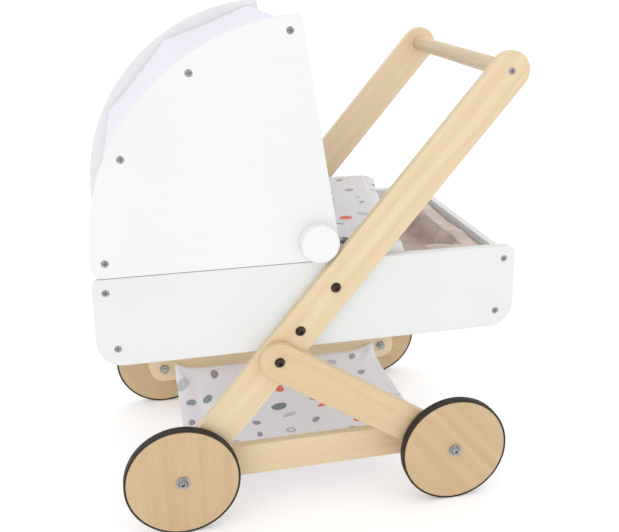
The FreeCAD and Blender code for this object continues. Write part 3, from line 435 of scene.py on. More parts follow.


# %% [markdown]
# The basket and the hood are boards with satin white paint.  A thin coat keeps a hint of the
# grain and a fine texture from the spray gun, and it lies thinner along the edges, where a
# little of the warm board shows through.  The hood and its knobs get a whiter coat than the
# basket: painted light, for the hood's brighter faces; so the paint's brightness is an
# argument.

# %% White painted board
def painted(name, turn=(0, 0, 0), white=230):
    material, tree, shader = new_finish(name, Coat_Weight=0.08, Coat_Roughness=0.25)
    place = object_place(tree)
    along = add(tree, "ShaderNodeMapping", {"Vector": place, "Rotation": turn}).outputs[0]
    grain = placed(tree, GRAIN, Along_Grain=along)
    wear = placed(tree, WEAR, Vector=place, Reach=1.0 * MM)
    spray = mottle(tree, place, 900.0, detail=2.0)
    cloudy = mottle(tree, place, 9.0, detail=3.0)
    coat = mixed(tree, cloudy.within(0.3, 0.7), rgb(white, white + 1, white),
                 rgb(white - 4, white - 2, white - 3))
    coat = mixed(tree, grain["Tone"] * 0.25, coat, rgb(white - 9, white - 7, white - 6))
    wire(tree, shader, Roughness=0.38 + spray * 0.08 + grain["Tone"] * 0.04,
         Base_Color=mixed(tree, wear["Mask"] * 0.22, coat, rgb(222, 214, 202)))
    bump(tree, shader, spray * 0.5 + grain["Height"], 0.05 * MM, 0.5)
    return material


finish(["basket_side_left", "basket_side_right", "pivot_board_left", "pivot_board_right",
        "basket_floor"], painted("white_board_along"))
# Painted light: the hood's boards and knobs get a whiter coat, 236 against the basket's 230,
# for the light they catch.
finish(["hood_side_left", "hood_side_right", "hood_knob_left", "hood_knob_right"],
       painted("white_board_hood", white=236))
finish(["basket_front_board", "basket_rear_board"], painted("white_board_across", ACROSS))
print("paints:", [m.name for m in bpy.data.materials if m.name.startswith("white")])


# %% [markdown]
# ## Rubber and metal
#
# The tyres are flat rubber strips, dull, with a fine bloom.  The screws and axle bolts are
# zinc plated, the frame bolts are blackened, and the two threaded inserts are brass.  One
# function makes the metals, because they differ only in colour and polish.  The shade group
# for recesses paints shade into the screws' slots; the brighter edges are wear and painted
# highlight.

# %% Rubber and metals
def make_rubber():
    material, tree, shader = new_finish("tyre_rubber", Specular_IOR_Level=0.35)
    place = object_place(tree)
    bloom = mottle(tree, place, 45.0, detail=4.0).within(0.35, 0.75)
    fine = mottle(tree, place, 1500.0, detail=1.0)
    wire(tree, shader, Base_Color=mixed(tree, bloom, rgb(36, 31, 26), rgb(56, 48, 40)),
         Roughness=0.55 + bloom * 0.2)
    bump(tree, shader, fine, 0.08 * MM, 0.6)
    return material


def metal(name, bright, dull, rubbed_glint, polish, metallic=1.0):
    material, tree, shader = new_finish(name, Metallic=metallic)
    place = object_place(tree)
    cloudy = mottle(tree, place, 160.0, detail=4.0).within(0.3, 0.7)
    brushed = mottle(tree, scaled(tree, place, (3000, 400, 3000)), 1.0, detail=1.0)
    wear = placed(tree, WEAR, Vector=place, Reach=0.4 * MM)
    recess_painted_shade = placed(tree, RECESS, Reach=1.6 * MM)
    surface = mixed(tree, cloudy, rgb(*bright), rgb(*dull))
    # The edges take a brighter colour: partly wear, partly a painted highlight on rims and
    # sockets.
    surface = mixed(tree, wear["Mask"] * 0.7, surface, rgb(*rubbed_glint))
    # Painted shade: slots and hollows darken to a third of the dull colour.
    surface = mixed(tree, recess_painted_shade["Mask"] * 0.85, surface, rgb(*[c * 0.3 for c in dull]))
    wire(tree, shader, Base_Color=surface, Roughness=polish + cloudy * 0.14)
    bump(tree, shader, brushed, 0.03 * MM, 0.5)
    return material


finish([f"{end}_{side}_wheel_tyre" for end in ENDS for side in SIDES], make_rubber())
zinc = metal("zinc_steel", (176, 177, 178), (138, 139, 141), (226, 226, 228), 0.24)
finish(["front_axle_bolts", "rear_axle_bolts", "inner_washers", "outer_washers", "axle_nuts",
        "handle_screws", "basket_screws", "hood_screws", "tray_screws", "knob_bolt_left",
        "knob_bolt_right"], zinc)
finish(["frame_bolts", "frame_nuts", "leg_bolts", "leg_nuts"],
       metal("black_steel", (78, 66, 56), (48, 41, 36), (150, 138, 124), 0.3, metallic=0.8))
finish(["pivot_inserts"],
       metal("brass", (214, 180, 108), (186, 150, 84), (236, 210, 150), 0.25))
print("finishes so far:", len(bpy.data.materials))


# %% [markdown]
# ## Cloth
#
# Woven cotton reads its coordinates from the piece's own cut, a UV map in metres that is made
# with each piece, so threads and print follow the folds.  Plush reads Object coordinates,
# because its pile has no direction to follow.

# %% White cotton, printed cotton and plush
def cotton(name, light, dark, printed=None):
    material, tree, shader = new_finish(name, Roughness=0.85, Sheen_Weight=0.15,
                                        Sheen_Roughness=0.5, Specular_IOR_Level=0.2)
    cut = add(tree, "ShaderNodeUVMap", uv_map="cut").outputs[0]
    weave = placed(tree, WEAVE, Cut=cut, Thread=0.5 * MM)
    ground = mixed(tree, weave["Slub"], rgb(*light), rgb(*dark))
    if printed:
        moved = add(tree, "ShaderNodeVectorMath", {0: cut, 1: printed}, operation="ADD")
        stones = placed(tree, STONES, Cut=moved.outputs[0], Cell=37 * MM)
        soaked = stones["Mask"] * (0.86 + weave["Height"] * 0.14)
        ground = mixed(tree, soaked, ground, stones["Color"])
    wire(tree, shader, Base_Color=ground)
    bump(tree, shader, weave["Height"] + weave["Slub"] * 0.4, 0.12 * MM, 0.6)
    return material


def make_plush():
    material, tree, shader = new_finish("taupe_plush", Roughness=0.95, Sheen_Weight=0.5,
                                        Sheen_Roughness=0.4, Specular_IOR_Level=0.1,
                                        Sheen_Tint=rgb(226, 208, 200))
    place = object_place(tree)
    pile = placed(tree, PILE, Vector=place)
    # Painted sheen: the plush's one dye is mixed between a darker and a lighter taupe by the
    # nap mask.
    wire(tree, shader, Base_Color=mixed(tree, pile["Brushed"], rgb(196, 179, 170),
                                        rgb(222, 209, 201)))
    bump(tree, shader, pile["Height"], 1.2 * MM, 0.7)
    return material


def make_thread():
    material, tree, shader = new_finish("sewing_thread", Sheen_Weight=0.2)
    place = object_place(tree)
    twist = mottle(tree, place, 2500.0, detail=1.0)
    wire(tree, shader, Base_Color=mixed(tree, twist, rgb(250, 250, 250), rgb(228, 228, 233)),
         Roughness=0.6 + twist * 0.2)
    return material


hood_cotton = cotton("hood_cotton", (237, 237, 246), (228, 228, 239))
tray_cotton = cotton("tray_cotton", (249, 246, 251), (240, 237, 243), printed=(0, 0, 0))
quilt_cotton = cotton("quilt_cotton", (238, 237, 238), (228, 227, 229),
                      printed=(0.019, 0.012, 0))
plush, thread = make_plush(), make_thread()
print("cloths:", [m.name for m in (hood_cotton, tray_cotton, quilt_cotton, plush, thread)])


# %% [markdown]
# ## Sewing: sheets, seams and stitches
#
# A sheet is a grid of points whose shape comes from a rule.  The helper below makes the grid,
# keeps the flat cut as a UV map in metres, and gives the cloth its thickness with Solidify.

# %% Helpers for sheets and bodies
CLOTH = 0.9 * MM


def plain_object(name, mesh, material):
    piece = bpy.data.objects.new(name, mesh)
    scene.collection.objects.link(piece)
    if material:
        mesh.materials.clear()
        mesh.materials.append(material)
    mesh.polygons.foreach_set("use_smooth", [True] * len(mesh.polygons))
    return piece


def evaluated_mesh(piece):
    """The piece's mesh as its modifiers leave it."""
    graph = bpy.context.evaluated_depsgraph_get()
    return bpy.data.meshes.new_from_object(piece.evaluated_get(graph), depsgraph=graph)


def sheet_mesh(name, points, cut):
    """A mesh from a grid of points, rows by columns, and the same grid on the flat cloth."""
    rows, columns = points.shape[:2]
    number = np.arange(rows * columns).reshape(rows, columns)
    faces = np.stack([number[:-1, :-1], number[1:, :-1], number[1:, 1:], number[:-1, 1:]],
                     axis=-1).reshape(-1, 4)
    mesh = bpy.data.meshes.new(name)
    mesh.from_pydata(points.reshape(-1, 3).tolist(), [], faces.tolist())
    layer = mesh.uv_layers.new(name="cut")
    layer.data.foreach_set("uv", cut.reshape(-1, 2)[faces.ravel()].astype(np.float32).ravel())
    return mesh


def thicken(piece):
    solid = piece.modifiers.new("cloth thickness", "SOLIDIFY")
    solid.thickness, solid.offset, solid.use_rim = CLOTH, 0.0, True


# %% [markdown]
# Stitches repeat along a seam, which is what Geometry Nodes are for: the seam's line is cut
# into equal steps and a short bead of thread is laid on each step, turned along the line.

# %% Geometry Nodes: a row of stitches
def ended(tree, geometry, material, sink):
    """Close a tree as every piece needs it: real faces with their material."""
    real = add(tree, "GeometryNodeRealizeInstances", {0: geometry})
    done = add(tree, "GeometryNodeSetMaterial", {"Geometry": real.outputs[0],
                                                 "Material": material})
    plug(tree, done.outputs[0], sink.inputs[0])
    return tree


def make_stitch_tree():
    tree, given, sink = new_group(
        "stitch_row", {"Line": ("Geometry", None), "Step": ("Float", 0.0034),
                       "Length": ("Float", 0.0024), "Thread": ("Float", 0.0004),
                       "Material": ("Material", None)},
        {"Stitches": ("Geometry", None)}, kind="GeometryNodeTree")
    curve = add(tree, "GeometryNodeMeshToCurve", {0: given["Line"]}).outputs[0]
    dots = add(tree, "GeometryNodeCurveToPoints", {"Curve": curve, "Length": given["Step"]},
               mode="LENGTH")
    bead = add(tree, "GeometryNodeMeshUVSphere", {"Segments": 6, "Rings": 4, "Radius": 0.5})
    facing = add(tree, "FunctionNodeAlignRotationToVector",
                 {"Vector": dots.outputs["Tangent"]}, axis="X")
    size = add(tree, "ShaderNodeCombineXYZ", {"X": given["Length"], "Y": given["Thread"] * 2.0,
                                              "Z": given["Thread"] * 2.0})
    laid = add(tree, "GeometryNodeInstanceOnPoints",
               {"Points": dots.outputs["Points"], "Instance": bead.outputs["Mesh"],
                "Rotation": facing.outputs[0], "Scale": size.outputs[0]})
    return ended(tree, laid.outputs[0], given["Material"], sink)


STITCHES = make_stitch_tree()


def grown(name, tree, mesh, **inputs):
    """Run a Geometry Nodes tree over a mesh and keep the result as a plain piece."""
    source = bpy.data.objects.new(name + "_source", mesh)
    scene.collection.objects.link(source)
    modifier = source.modifiers.new("nodes", "NODES")
    modifier.node_group = tree
    for item in tree.interface.items_tree:
        if item.in_out == "INPUT" and item.name.replace(" ", "_") in inputs:
            modifier[item.identifier] = inputs[item.name.replace(" ", "_")]
    made = evaluated_mesh(source)
    bpy.data.objects.remove(source)
    made.name = name
    return plain_object(name, made, None)


def stitched(name, lines):
    """Stitches along several lines of points."""
    points, edges = [], []
    for line in lines:
        start = len(points)
        points += [tuple(point) for point in line]
        edges += [(start + step, start + step + 1) for step in range(len(line) - 1)]
    mesh = bpy.data.meshes.new(name + "_lines")
    mesh.from_pydata(points, edges, [])
    return grown(name, STITCHES, mesh, Material=thread)


# %% [markdown]
# ## The hood's cover
#
# One piece of white cotton runs over the four battens of the hood.  It could be drawn as a
# smooth arch, but cloth under tension lies straight from batten to batten and bends only over
# them, so its line is worked out as a belt over four pulleys.  At the first and the last
# batten it turns right round into a sewn tunnel that holds the batten.  The width then gets
# what tension does to cotton: faint drag lines between battens, and hems along both edges.

# %% The cover's line over the battens
battens = [np.array(middle(label)) for label in BATTENS]
low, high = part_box(BATTENS[-1])
batten_radius = (high.z - low.z) / 2
pulley = batten_radius + 0.3 * MM + CLOTH / 2
TUNNEL = 22 * MM
TURN_STEPS, FREE_STEPS = 22, 34     # steps round an end batten, and between two battens


def on_circle(centre, angle):
    return centre + pulley * np.array([math.cos(angle), math.sin(angle)])


def arc(centre, start, end, steps):
    return [on_circle(centre, angle) for angle in np.linspace(start, end, steps)]


def straight(start, end, steps):
    return [start + (end - start) * share for share in np.linspace(0, 1, steps)[1:-1]]


def belt():
    """The cloth's line as points, with the share of the way between two battens at each."""
    runs = [after - before for before, after in zip(battens, battens[1:])]
    normals = [math.atan2(run[1], run[0]) - math.pi / 2 for run in runs]
    sewn = math.hypot(TUNNEL, pulley - 2 * CLOTH)
    open_part = math.pi / 2 - math.atan2(pulley - 2 * CLOTH, TUNNEL) + math.acos(pulley / sewn)
    wrap = 2 * math.pi - open_part
    tail = math.sqrt(sewn ** 2 - pulley ** 2)
    line, between = [], []

    def extend(points, shares):
        line.extend(points)
        between.extend(shares)

    first = normals[0] - wrap
    start = on_circle(battens[0], first)
    along = np.array([-math.sin(first), math.cos(first)])
    extend([start - along * tail * share for share in (1, 0.8, 0.6, 0.4, 0.2)], [0] * 5)
    extend(arc(battens[0], first, normals[0], TURN_STEPS), [0] * TURN_STEPS)
    for index, normal in enumerate(normals):
        begin = on_circle(battens[index], normal)
        end = on_circle(battens[index + 1], normal)
        extend(straight(begin, end, FREE_STEPS), np.linspace(0, 1, FREE_STEPS)[1:-1])
        following = normals[index + 1] if index < 2 else normal + wrap
        steps = 6 if index < 2 else TURN_STEPS
        extend(arc(battens[index + 1], normal, following, steps), [0] * steps)
    last = normals[-1] + wrap
    along = np.array([-math.sin(last), math.cos(last)])
    extend([on_circle(battens[-1], last) + along * tail * share
            for share in (0.2, 0.4, 0.6, 0.8, 1)], [0] * 5)
    return np.array(line), np.array(between, float)


line, between = belt()
steps = np.linalg.norm(np.diff(line, axis=0), axis=1)
run = np.concatenate([[0], np.cumsum(steps)])
print("cover: cut", round(run[-1] * 1000), "mm long")


# %% The cover's cloth
def unit(vectors):
    return vectors / np.maximum(np.linalg.norm(vectors, axis=-1, keepdims=True), 1e-9)


def soft_noise(places, scale, seed):
    """Smooth repeatable noise between -1 and 1 at many places."""
    shift = Vector((seed * 7.3, seed * 3.1, seed * 5.7))
    return np.array([noise.noise(Vector(place) * scale + shift) for place in places])


cover_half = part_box("hood_cover")[1].y
HEM = 8 * MM
tangent = unit(np.gradient(line, axis=0))
outward_2d = np.stack([tangent[:, 1], -tangent[:, 0]], axis=1)
across = np.sin(np.linspace(-math.pi / 2, math.pi / 2, 73)) * 0.35
across = (across + np.linspace(-1, 1, 73) * 0.65) * cover_half


def cover_height(run_at, share, y):
    """How far the cloth stands off its straight line, outwards."""
    free = math.sin(math.pi * share)
    drag = noise.noise(Vector((y * 46, run_at * 7, 3.3))) * 1.1 * MM
    drag += noise.noise(Vector((y * 110, run_at * 12, 9.1))) * 0.45 * MM
    edge = max(0.0, (abs(y) - (cover_half - HEM)) / HEM)
    curl = noise.noise(Vector((y * 4, run_at * 34, 1.7))) * 1.6 * MM * edge
    return free * (drag - 1.3 * MM + curl) + (0.25 * MM if edge > 0 else 0.0)


points = np.zeros((len(line), len(across), 3))
for row, (at, share) in enumerate(zip(run, between)):
    for column, y in enumerate(across):
        out = line[row] + outward_2d[row] * cover_height(at, share, y)
        points[row, column] = (out[0], y, out[1])
cut = np.stack(np.meshgrid(run, across, indexing="ij"), axis=-1)
cover = plain_object("hood_cover_cloth", sheet_mesh("hood_cover_cloth", points, cut),
                     hood_cotton)
facing = cover.data.polygons[len(cover.data.polygons) // 2]
hinge_x, hinge_z = middle("knob_bolt_left")
if facing.normal.dot(facing.center - Vector((hinge_x, 0, hinge_z))) < 0:
    cover.data.flip_normals()
thicken(cover)
print("cover:", len(cover.data.polygons), "faces,", round(cover_half * 2000), "mm wide")


# %% The cover's stitches
LIFT = CLOTH / 2 + 0.1 * MM


def on_cover(row, column):
    """A point just above the cloth."""
    return points[row, column] + np.array([outward_2d[row][0], 0, outward_2d[row][1]]) * LIFT


turned = TURN_STEPS + 5
rows = range(turned, len(line) - turned)
hem_columns = [int(np.argmin(abs(across - side * (cover_half - HEM)))) for side in (-1, 1)]
seam_rows = [int(np.argmin(abs(run - at)))
             for at in (run[turned - 1] + TUNNEL, run[-turned] - TUNNEL)]
cover_lines = [[on_cover(row, column) for row in rows] for column in hem_columns]
cover_lines += [[on_cover(row, column) for column in range(len(across))]
                for row in seam_rows]
cover_stitches = stitched("hood_cover_stitches", cover_lines)
print("cover stitches:", len(cover_stitches.data.polygons), "faces")


# %% [markdown]
# ## The tray
#
# A printed sheet hangs between the two lower rails from its four corners.  It follows a plain
# rule: it sags as a shallow curve from side to side, more at the front than at the back, rises
# to a small ear at each corner where it is hooked over a screw, and puckers a little around
# each ear.  A rule like that is at home in Geometry Nodes, where each size is an input.

# %% Geometry Nodes: a sheet hung from its corners
def make_hung_sheet():
    tree, given, sink = new_group(
        "hung_sheet",
        {"Half Length": ("Float", 0.134), "Half Width": ("Float", 0.121),
         "Edge Height": ("Float", 0.058), "Front Sag": ("Float", 0.027),
         "Back Sag": ("Float", 0.005), "Ear Rise": ("Float", 0.009),
         "Ear Reach": ("Float", 0.013), "Ear Pull": ("Float", 0.005),
         "Fold": ("Float", 0.005), "Pucker": ("Float", 0.0014),
         "Material": ("Material", None)},
        {"Sheet": ("Geometry", None)}, kind="GeometryNodeTree")
    half_length, half_width = given["Half Length"], given["Half Width"]
    grid = add(tree, "GeometryNodeMeshGrid",
               {"Size X": half_length * 2.0, "Size Y": half_width * 2.0,
                "Vertices X": 136, "Vertices Y": 124})
    here = add(tree, "GeometryNodeInputPosition").outputs[0]
    flat = add(tree, "GeometryNodeStoreNamedAttribute",
               {"Geometry": grid.outputs["Mesh"], "Name": "cut"},
               data_type="FLOAT2", domain="CORNER")
    plug(tree, here, next(s for s in flat.inputs if s.name == "Value" and s.enabled))
    x, y, _ = parts(tree, here)
    u, v = x / half_length, y / half_width
    hang = 1.0 - v * v
    sag = given["Front Sag"] + (given["Back Sag"] - given["Front Sag"]) * (u * 0.5 + 0.5)
    from_end = half_length - x.math("ABSOLUTE")
    from_side = half_width - y.math("ABSOLUTE")
    from_corner = (from_end * from_end + from_side * from_side).math("SQRT")
    near = from_corner / given["Ear Reach"]
    ear = (near * near * -1.0).math("EXPONENT")
    spokes = (from_side.math("ARCTAN2", from_end) * 7.0).math("SINE")
    fading = (from_corner * -22.0).math("EXPONENT") * (1.0 - ear)
    pucker = spokes * fading * given["Pucker"] * 1.6
    valley = (x + half_length - 0.024) / 0.009
    fold = (valley * valley * -1.0).math("EXPONENT") * given["Fold"] * hang
    soft = mottle(tree, here, 13.0, detail=2.0) - 0.5
    height = (given["Edge Height"] - sag * hang + given["Ear Rise"] * ear + pucker
              - fold + soft * 0.006 * hang - (1.0 - u * u) * (1.0 - hang) * 0.002)
    drawn = y.math("SIGN") * ((1.0 - u * u) * v * v * 0.002 + ear * given["Ear Pull"])
    moved = add(tree, "ShaderNodeCombineXYZ", {"X": x, "Y": y - drawn, "Z": height})
    shaped = add(tree, "GeometryNodeSetPosition", {"Geometry": flat.outputs[0],
                                                   "Position": moved.outputs[0]})
    return ended(tree, shaped.outputs[0], given["Material"], sink)


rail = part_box("tray_cloth")
tray = grown("tray_sheet", make_hung_sheet(), bpy.data.meshes.new("seed"),
             Half_Length=rail[1].x, Half_Width=rail[1].y, Material=tray_cotton)
thicken(tray)
heights = [vertex.co.z * 1000 for vertex in tray.data.vertices]
print("tray:", len(tray.data.polygons), "faces, from", round(min(heights)), "to",
      round(max(heights)), "mm high")


# %% The tray's hem stitches
def tray_lines(mesh, inset):
    """Lines of points on the sheet, a set distance inside each of its four edges."""
    half_x, half_y = rail[1].x - inset, rail[1].y - inset
    flat = {}
    for loop in mesh.loops:
        flat[loop.vertex_index] = mesh.uv_layers["cut"].data[loop.index].uv
    keys = np.array([tuple(flat[index]) for index in range(len(mesh.vertices))])
    lines = []
    for axis, reach, other in ((0, half_x, half_y), (1, half_y, half_x)):
        values = np.unique(keys[:, axis].round(6))
        for side in (-1, 1):
            level = values[np.argmin(abs(values - side * reach))]
            chosen = np.where((abs(keys[:, axis] - level) < 1e-5)
                              & (abs(keys[:, 1 - axis]) <= other))[0]
            chosen = chosen[np.argsort(keys[chosen, 1 - axis])]
            lines.append([mesh.vertices[i].co + mesh.vertices[i].normal * LIFT
                          for i in chosen])
    return lines


tray_stitches = stitched("tray_stitches", tray_lines(tray.data, 7 * MM))
print("tray stitches:", len(tray_stitches.data.polygons), "faces")


# %% [markdown]
# ## Padded pieces
#
# The nest and the quilt are stuffed.  A stuffed piece could be sculpted point by point, but
# cloth that is really blown up a little finds its own round edges and soft corners.  So each
# starts as a copy of its CAD solid, merged, remeshed into even squares and shrunk a little,
# and Blender's cloth solver inflates it without gravity.  Nothing holds such a piece in place,
# so it also slides and stretches; only the swelling is kept.  The common drift is taken off,
# each point moves along its own normal, and no further than a cap, so the piece stays in the
# room its solid holds.

# %% Helpers for padded pieces
def coordinates(mesh):
    flat = np.zeros(len(mesh.vertices) * 3, np.float32)
    mesh.vertices.foreach_get("co", flat)
    return flat.reshape(-1, 3).astype(float)


def set_coordinates(mesh, places):
    mesh.vertices.foreach_set("co", places.astype(np.float32).ravel())
    mesh.update()


def vertex_normals(mesh):
    return np.array([vertex.normal[:] for vertex in mesh.vertices])


def modified(piece, kind, **settings):
    """Run one modifier and keep what it makes as the piece's mesh."""
    modifier = piece.modifiers.new(kind.lower(), kind)
    for name, value in settings.items():
        setattr(modifier, name, value)
    mesh = evaluated_mesh(piece)
    piece.modifiers.clear()
    piece.data = mesh


def blank(label, name, voxel, shrink, material):
    """An even mesh of a CAD solid, drawn in a little from all its faces."""
    shell = bmesh.new()
    shell.from_mesh(nodes[label].data)
    bmesh.ops.remove_doubles(shell, verts=shell.verts, dist=0.02 * MM)
    mesh = bpy.data.meshes.new(name)
    shell.to_mesh(mesh)
    shell.free()
    piece = plain_object(name, mesh, material)
    modified(piece, "REMESH", mode="VOXEL", voxel_size=voxel)
    set_coordinates(piece.data, coordinates(piece.data)
                    - vertex_normals(piece.data) * shrink)
    return piece


def ramp(values, start, width):
    """0 up to a start, then rising to 1 over a width."""
    return np.clip((values - start) / width, 0, 1)


def faces_of(mesh):
    """A tree of the mesh's faces in which rays find the nearest one."""
    return BVHTree.FromPolygons([vertex.co for vertex in mesh.vertices],
                                [polygon.vertices for polygon in mesh.polygons])


PRESSURE, FRAMES = 4.0, 20


def inflate(piece, cap):
    """Blow the piece up with the cloth solver; no point moves further than the cap."""
    rest = coordinates(piece.data)
    cloth = piece.modifiers.new("cloth", "CLOTH")
    cloth.settings.use_pressure = True
    cloth.settings.uniform_pressure_force = PRESSURE
    cloth.settings.effector_weights.gravity = 0
    cloth.point_cache.frame_start, cloth.point_cache.frame_end = 1, FRAMES
    for frame_number in range(1, FRAMES + 1):
        scene.frame_set(frame_number)
    graph = bpy.context.evaluated_depsgraph_get()
    moved = coordinates(piece.evaluated_get(graph).data)
    piece.modifiers.clear()
    scene.frame_set(1)
    drift = (moved - rest).mean(axis=0)
    swell = ((moved - rest - drift) * vertex_normals(piece.data)).sum(axis=1)
    swell = np.clip(swell, -0.5 * MM, cap)
    set_coordinates(piece.data, rest + vertex_normals(piece.data) * swell[:, None])
    print(piece.name, "swelled by", round(float(swell.mean()) * 1000, 1), "mm on average; it",
          "drifted", [round(float(v) * 1000, 1) for v in drift], "mm, which is taken back")


def near_line(places, start, end):
    """Distance from each place to a straight piece of line, in plan."""
    start, end = np.array(start), np.array(end)
    reach = end - start
    share = np.clip(((places[:, :2] - start) @ reach) / (reach @ reach), 0, 1)
    return np.linalg.norm(places[:, :2] - start - share[:, None] * reach, axis=1)


def bell(distance, width):
    return np.exp(-(distance / width) ** 2)


# %% [markdown]
# The nest is a plush pad with raised edges that fills the basket.  Its looks come from folds:
# the pad is a little too large for the basket, so it buckles into soft rolls, with one long
# crease where the raised edge meets the floor of the nest at each end, and a slanting one from
# there to each rear corner.  A roll along the rear board stands a little higher than the rest.

# %% The plush nest
nest = blank("plush_liner", "plush_nest", 5 * MM, 3.5 * MM, plush)
inflate(nest, 7 * MM)
modified(nest, "SMOOTH", factor=0.5, iterations=2)
modified(nest, "SUBSURF", levels=1, render_levels=1)
places = coordinates(nest.data)
normals = vertex_normals(nest.data)
inside = ramp(-abs(places[:, 1]), -0.125, 0.012) * ramp(-abs(places[:, 0]), -0.199, 0.010)
above = ramp(places[:, 2], 0.215, 0.01)
stretched = places * np.array([1.0, 0.6, 1.0])
folds = 1 - 2.4 * abs(soft_noise(stretched, 21.0, 4))
dimples = soft_noise(places, 60.0, 2)
FOLD_HEIGHT, DIMPLE, ROLL_RISE = 3.6, 1.3, 5 * MM
push = (folds * FOLD_HEIGHT + dimples * DIMPLE) * MM * inside * above
places[:, 2] += ROLL_RISE * (ramp(places[:, 0], 0.182, 0.012)
                             * ramp(places[:, 2], 0.245, 0.015))
for end in (-1, 1):
    crease = near_line(places, (end * 0.176, -0.09), (end * 0.170, 0.09))
    push -= bell(crease, 6 * MM) * 3.0 * MM * above
    mitre = near_line(places, (0.150, end * 0.082), (0.196, end * 0.122))
    push -= bell(mitre, 5 * MM) * 3.5 * MM * above
set_coordinates(nest.data, places + normals * push[:, None])
print("nest:", len(nest.data.polygons), "faces")


# %% [markdown]
# The quilt lies over the nest and laps onto the pivot boards.  Its print is on top and its
# underside is the same plush as the nest.  After the swelling it is stretched back to the
# plan of its CAD solid, and where it laps onto a board, rays cast down find the wood that it
# comes to rest on.  A seam runs round it just inside the edge, pressed in as real stitching
# pulls the filling down.

# %% The quilt
quilt = blank("quilt", "printed_quilt", 4.5 * MM, 2.0 * MM, quilt_cotton)
inflate(quilt, 4 * MM)
modified(quilt, "SMOOTH", factor=0.5, iterations=1)
modified(quilt, "SUBSURF", levels=1, render_levels=1)
low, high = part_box("quilt")
places = coordinates(quilt.data)
for axis in (0, 1):
    least, most = places[:, axis].min(), places[:, axis].max()
    share = (places[:, axis] - least) / (most - least)
    places[:, axis] = low[axis] + share * (high[axis] - low[axis])
DOWN = Vector((0, 0, -1))
BOARD_MIDDLE = 0.123
lap = ramp(abs(places[:, 1]), 0.106, 0.010) * (places[:, 2] > 0.285)
lap_bottom = places[lap > 0.9][:, 2].min()
for side, sign in zip(SIDES, (-1, 1)):
    board = faces_of(nodes[f"pivot_board_{side}"].data)
    for index in np.where((lap > 0) & (places[:, 1] * sign > 0))[0]:
        over_board = Vector((places[index, 0], sign * BOARD_MIDDLE, 0.5))
        top = board.ray_cast(over_board, DOWN)[0]
        if top and top.z < lap_bottom:
            places[index, 2] -= lap[index] * (lap_bottom - top.z - 0.3 * MM)
far_corner = ramp(places[:, 0], 0.08, 0.05) * ramp(places[:, 1], 0, 0.12)
places[:, 0] += far_corner * 3 * MM
set_coordinates(quilt.data, places)
print("quilt fills its room:",
      [round(float(v) * 1000) for v in (*places.min(0), *places.max(0))])
normals = vertex_normals(quilt.data)
topside = np.clip(normals[:, 2] * 2, 0, 1)
push = soft_noise(places, 17.0, 6) * 2.2 * MM * topside
push += soft_noise(places * np.array([1.0, 0.35, 1.0]), 48.0, 8) * 0.7 * MM
set_coordinates(quilt.data, places + normals * push[:, None])
print("quilt:", len(quilt.data.polygons), "faces, top at",
      round(float(coordinates(quilt.data)[:, 2].max()) * 1000), "mm")


# %% The quilt's seam, underside and cut
INSET = 8 * MM
UNDER_HOOD = 0.034     # the seam ends where the hood hides it
corners = [(UNDER_HOOD, -0.125 + INSET), (0.093 - INSET, -0.125 + INSET),
           (0.131 - INSET, 0.125 - INSET), (UNDER_HOOD, 0.125 - INSET)]
mesh = quilt.data
places, normals = coordinates(mesh), vertex_normals(mesh)
press = np.zeros(len(places))
for start, end in zip(corners, corners[1:]):
    press = np.maximum(press, bell(near_line(places, start, end), 2.6 * MM))
press *= normals[:, 2] > 0.3
set_coordinates(mesh, places - normals * (press * 1.4 * MM)[:, None])
mesh.materials.append(plush)
layer = mesh.uv_layers.new(name="cut")
for polygon in mesh.polygons:
    polygon.material_index = int(polygon.normal.z < -0.5 and abs(polygon.center.y) < 0.1)
    for index in polygon.loop_indices:
        place = mesh.vertices[mesh.loops[index].vertex_index].co
        drop = max(0.0, 0.298 - place.z) * (1 - abs(polygon.normal.z))
        sideways = abs(polygon.normal.y) > abs(polygon.normal.x)
        layer.data[index].uv = (
            place.x + (0 if sideways else math.copysign(drop, polygon.normal.x)),
            place.y + (math.copysign(drop, polygon.normal.y) if sideways else 0))
top_faces = faces_of(mesh)
seam = []
for start, end in zip(corners, corners[1:]):
    start, end = np.array(start), np.array(end)
    for share in np.linspace(0, 1, 60, endpoint=False):
        at = start + (end - start) * share
        hit = top_faces.ray_cast(Vector((at[0], at[1], 0.4)), DOWN)
        if hit[0]:
            seam.append(hit[0] + hit[1] * 0.2 * MM)
quilt_stitches = stitched("quilt_stitches", [seam])
print("quilt stitches:", len(quilt_stitches.data.polygons), "faces")


# %% [markdown]
# ## Where each piece belongs
#
# Every soft piece rides on a body of the model, and the CAD solid it replaces is hidden.

# %% Attach each soft piece to its body
def belongs(piece, body):
    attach(piece, body)


belongs(cover, "hood")
belongs(cover_stitches, "hood")
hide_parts("hood_cover")
belongs(tray, "frame")
belongs(tray_stitches, "frame")
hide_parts("tray_cloth")
belongs(nest, "frame")
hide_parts("plush_liner")
belongs(quilt, "frame")
belongs(quilt_stitches, "frame")
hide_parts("quilt")


# %% [markdown]
# ## Floor, light and camera
#
# The pram stands on a plain pale floor in an even studio light: a white room, one large soft
# lamp high at the front left, a weaker one at the right and one overhead, and no colour
# anywhere.  The floor glows a little, or it would come out grey beside the white room.

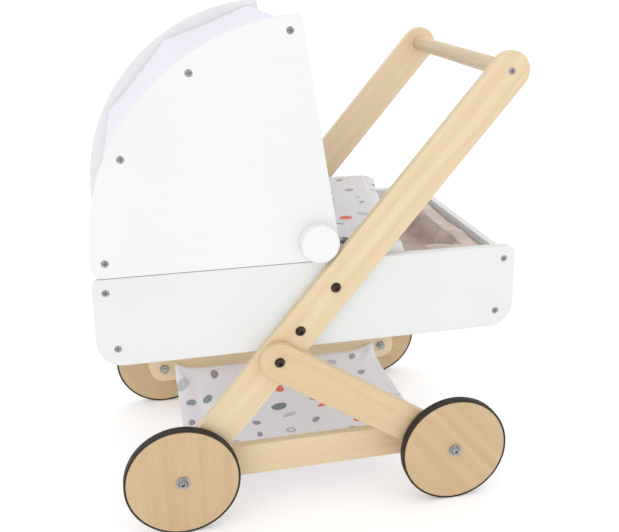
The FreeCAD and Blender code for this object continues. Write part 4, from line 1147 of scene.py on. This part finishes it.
# %% The floor
FLOOR_HALF = 40.0


def make_floor():
    material, tree, shader = new_finish("studio_floor", Roughness=0.9,
                                        Specular_IOR_Level=0.1, Emission_Strength=0.22,
                                        Emission_Color=(1, 1, 1, 1))
    place = object_place(tree)
    wire(tree, shader, Base_Color=mixed(tree, mottle(tree, place, 2.0), rgb(247, 247, 248),
                                        rgb(245, 245, 246)))
    mesh = bpy.data.meshes.new("studio_floor")
    mesh.from_pydata([(x * FLOOR_HALF, y * FLOOR_HALF, 0)
                      for x, y in ((-1, -1), (1, -1), (1, 1), (-1, 1))], [], [(0, 1, 2, 3)])
    return plain_object("studio_floor", mesh, material)


make_floor()
print("floor:", round(2 * FLOOR_HALF), "m square")


# %% Lights and camera
def lamp(name, place, target, size, power):
    light = bpy.data.lights.new(name, "AREA")
    light.shape, light.size, light.energy = "DISK", size, power
    made = bpy.data.objects.new(name, light)
    scene.collection.objects.link(made)
    made.location = place
    made.rotation_euler = (Vector(target) - Vector(place)).to_track_quat("-Z", "Y").to_euler()


lamp("key", (-1.3, -1.5, 1.9), (0, 0, 0.25), 1.4, 3.5)
lamp("fill", (1.5, -1.3, 1.1), (0, 0, 0.25), 1.2, 0.8)
lamp("top", (0.2, 0.4, 2.2), (0, 0, 0.2), 1.6, 0.8)
room = bpy.data.worlds.new("white_room")
room.use_nodes = True
room.node_tree.nodes["Background"].inputs["Color"].default_value = (1, 1, 1, 1)
room.node_tree.nodes["Background"].inputs["Strength"].default_value = 1.0
scene.world = room
scene.view_settings.view_transform = "Standard"

camera = bpy.data.objects.new("camera", bpy.data.cameras.new("camera"))
scene.collection.objects.link(camera)
camera.location = (-0.1902, -1.0102, 0.5868)
camera.rotation_euler = (math.radians(71.69), 0, math.radians(-14.87))
camera.data.lens, camera.data.sensor_width = 53.87, 36
camera.data.sensor_fit = "HORIZONTAL"
camera.data.shift_x, camera.data.shift_y = -0.0726, -0.0225
camera.data.clip_start = 0.05
scene.camera = camera
print("camera at", [round(value, 3) for value in camera.location])
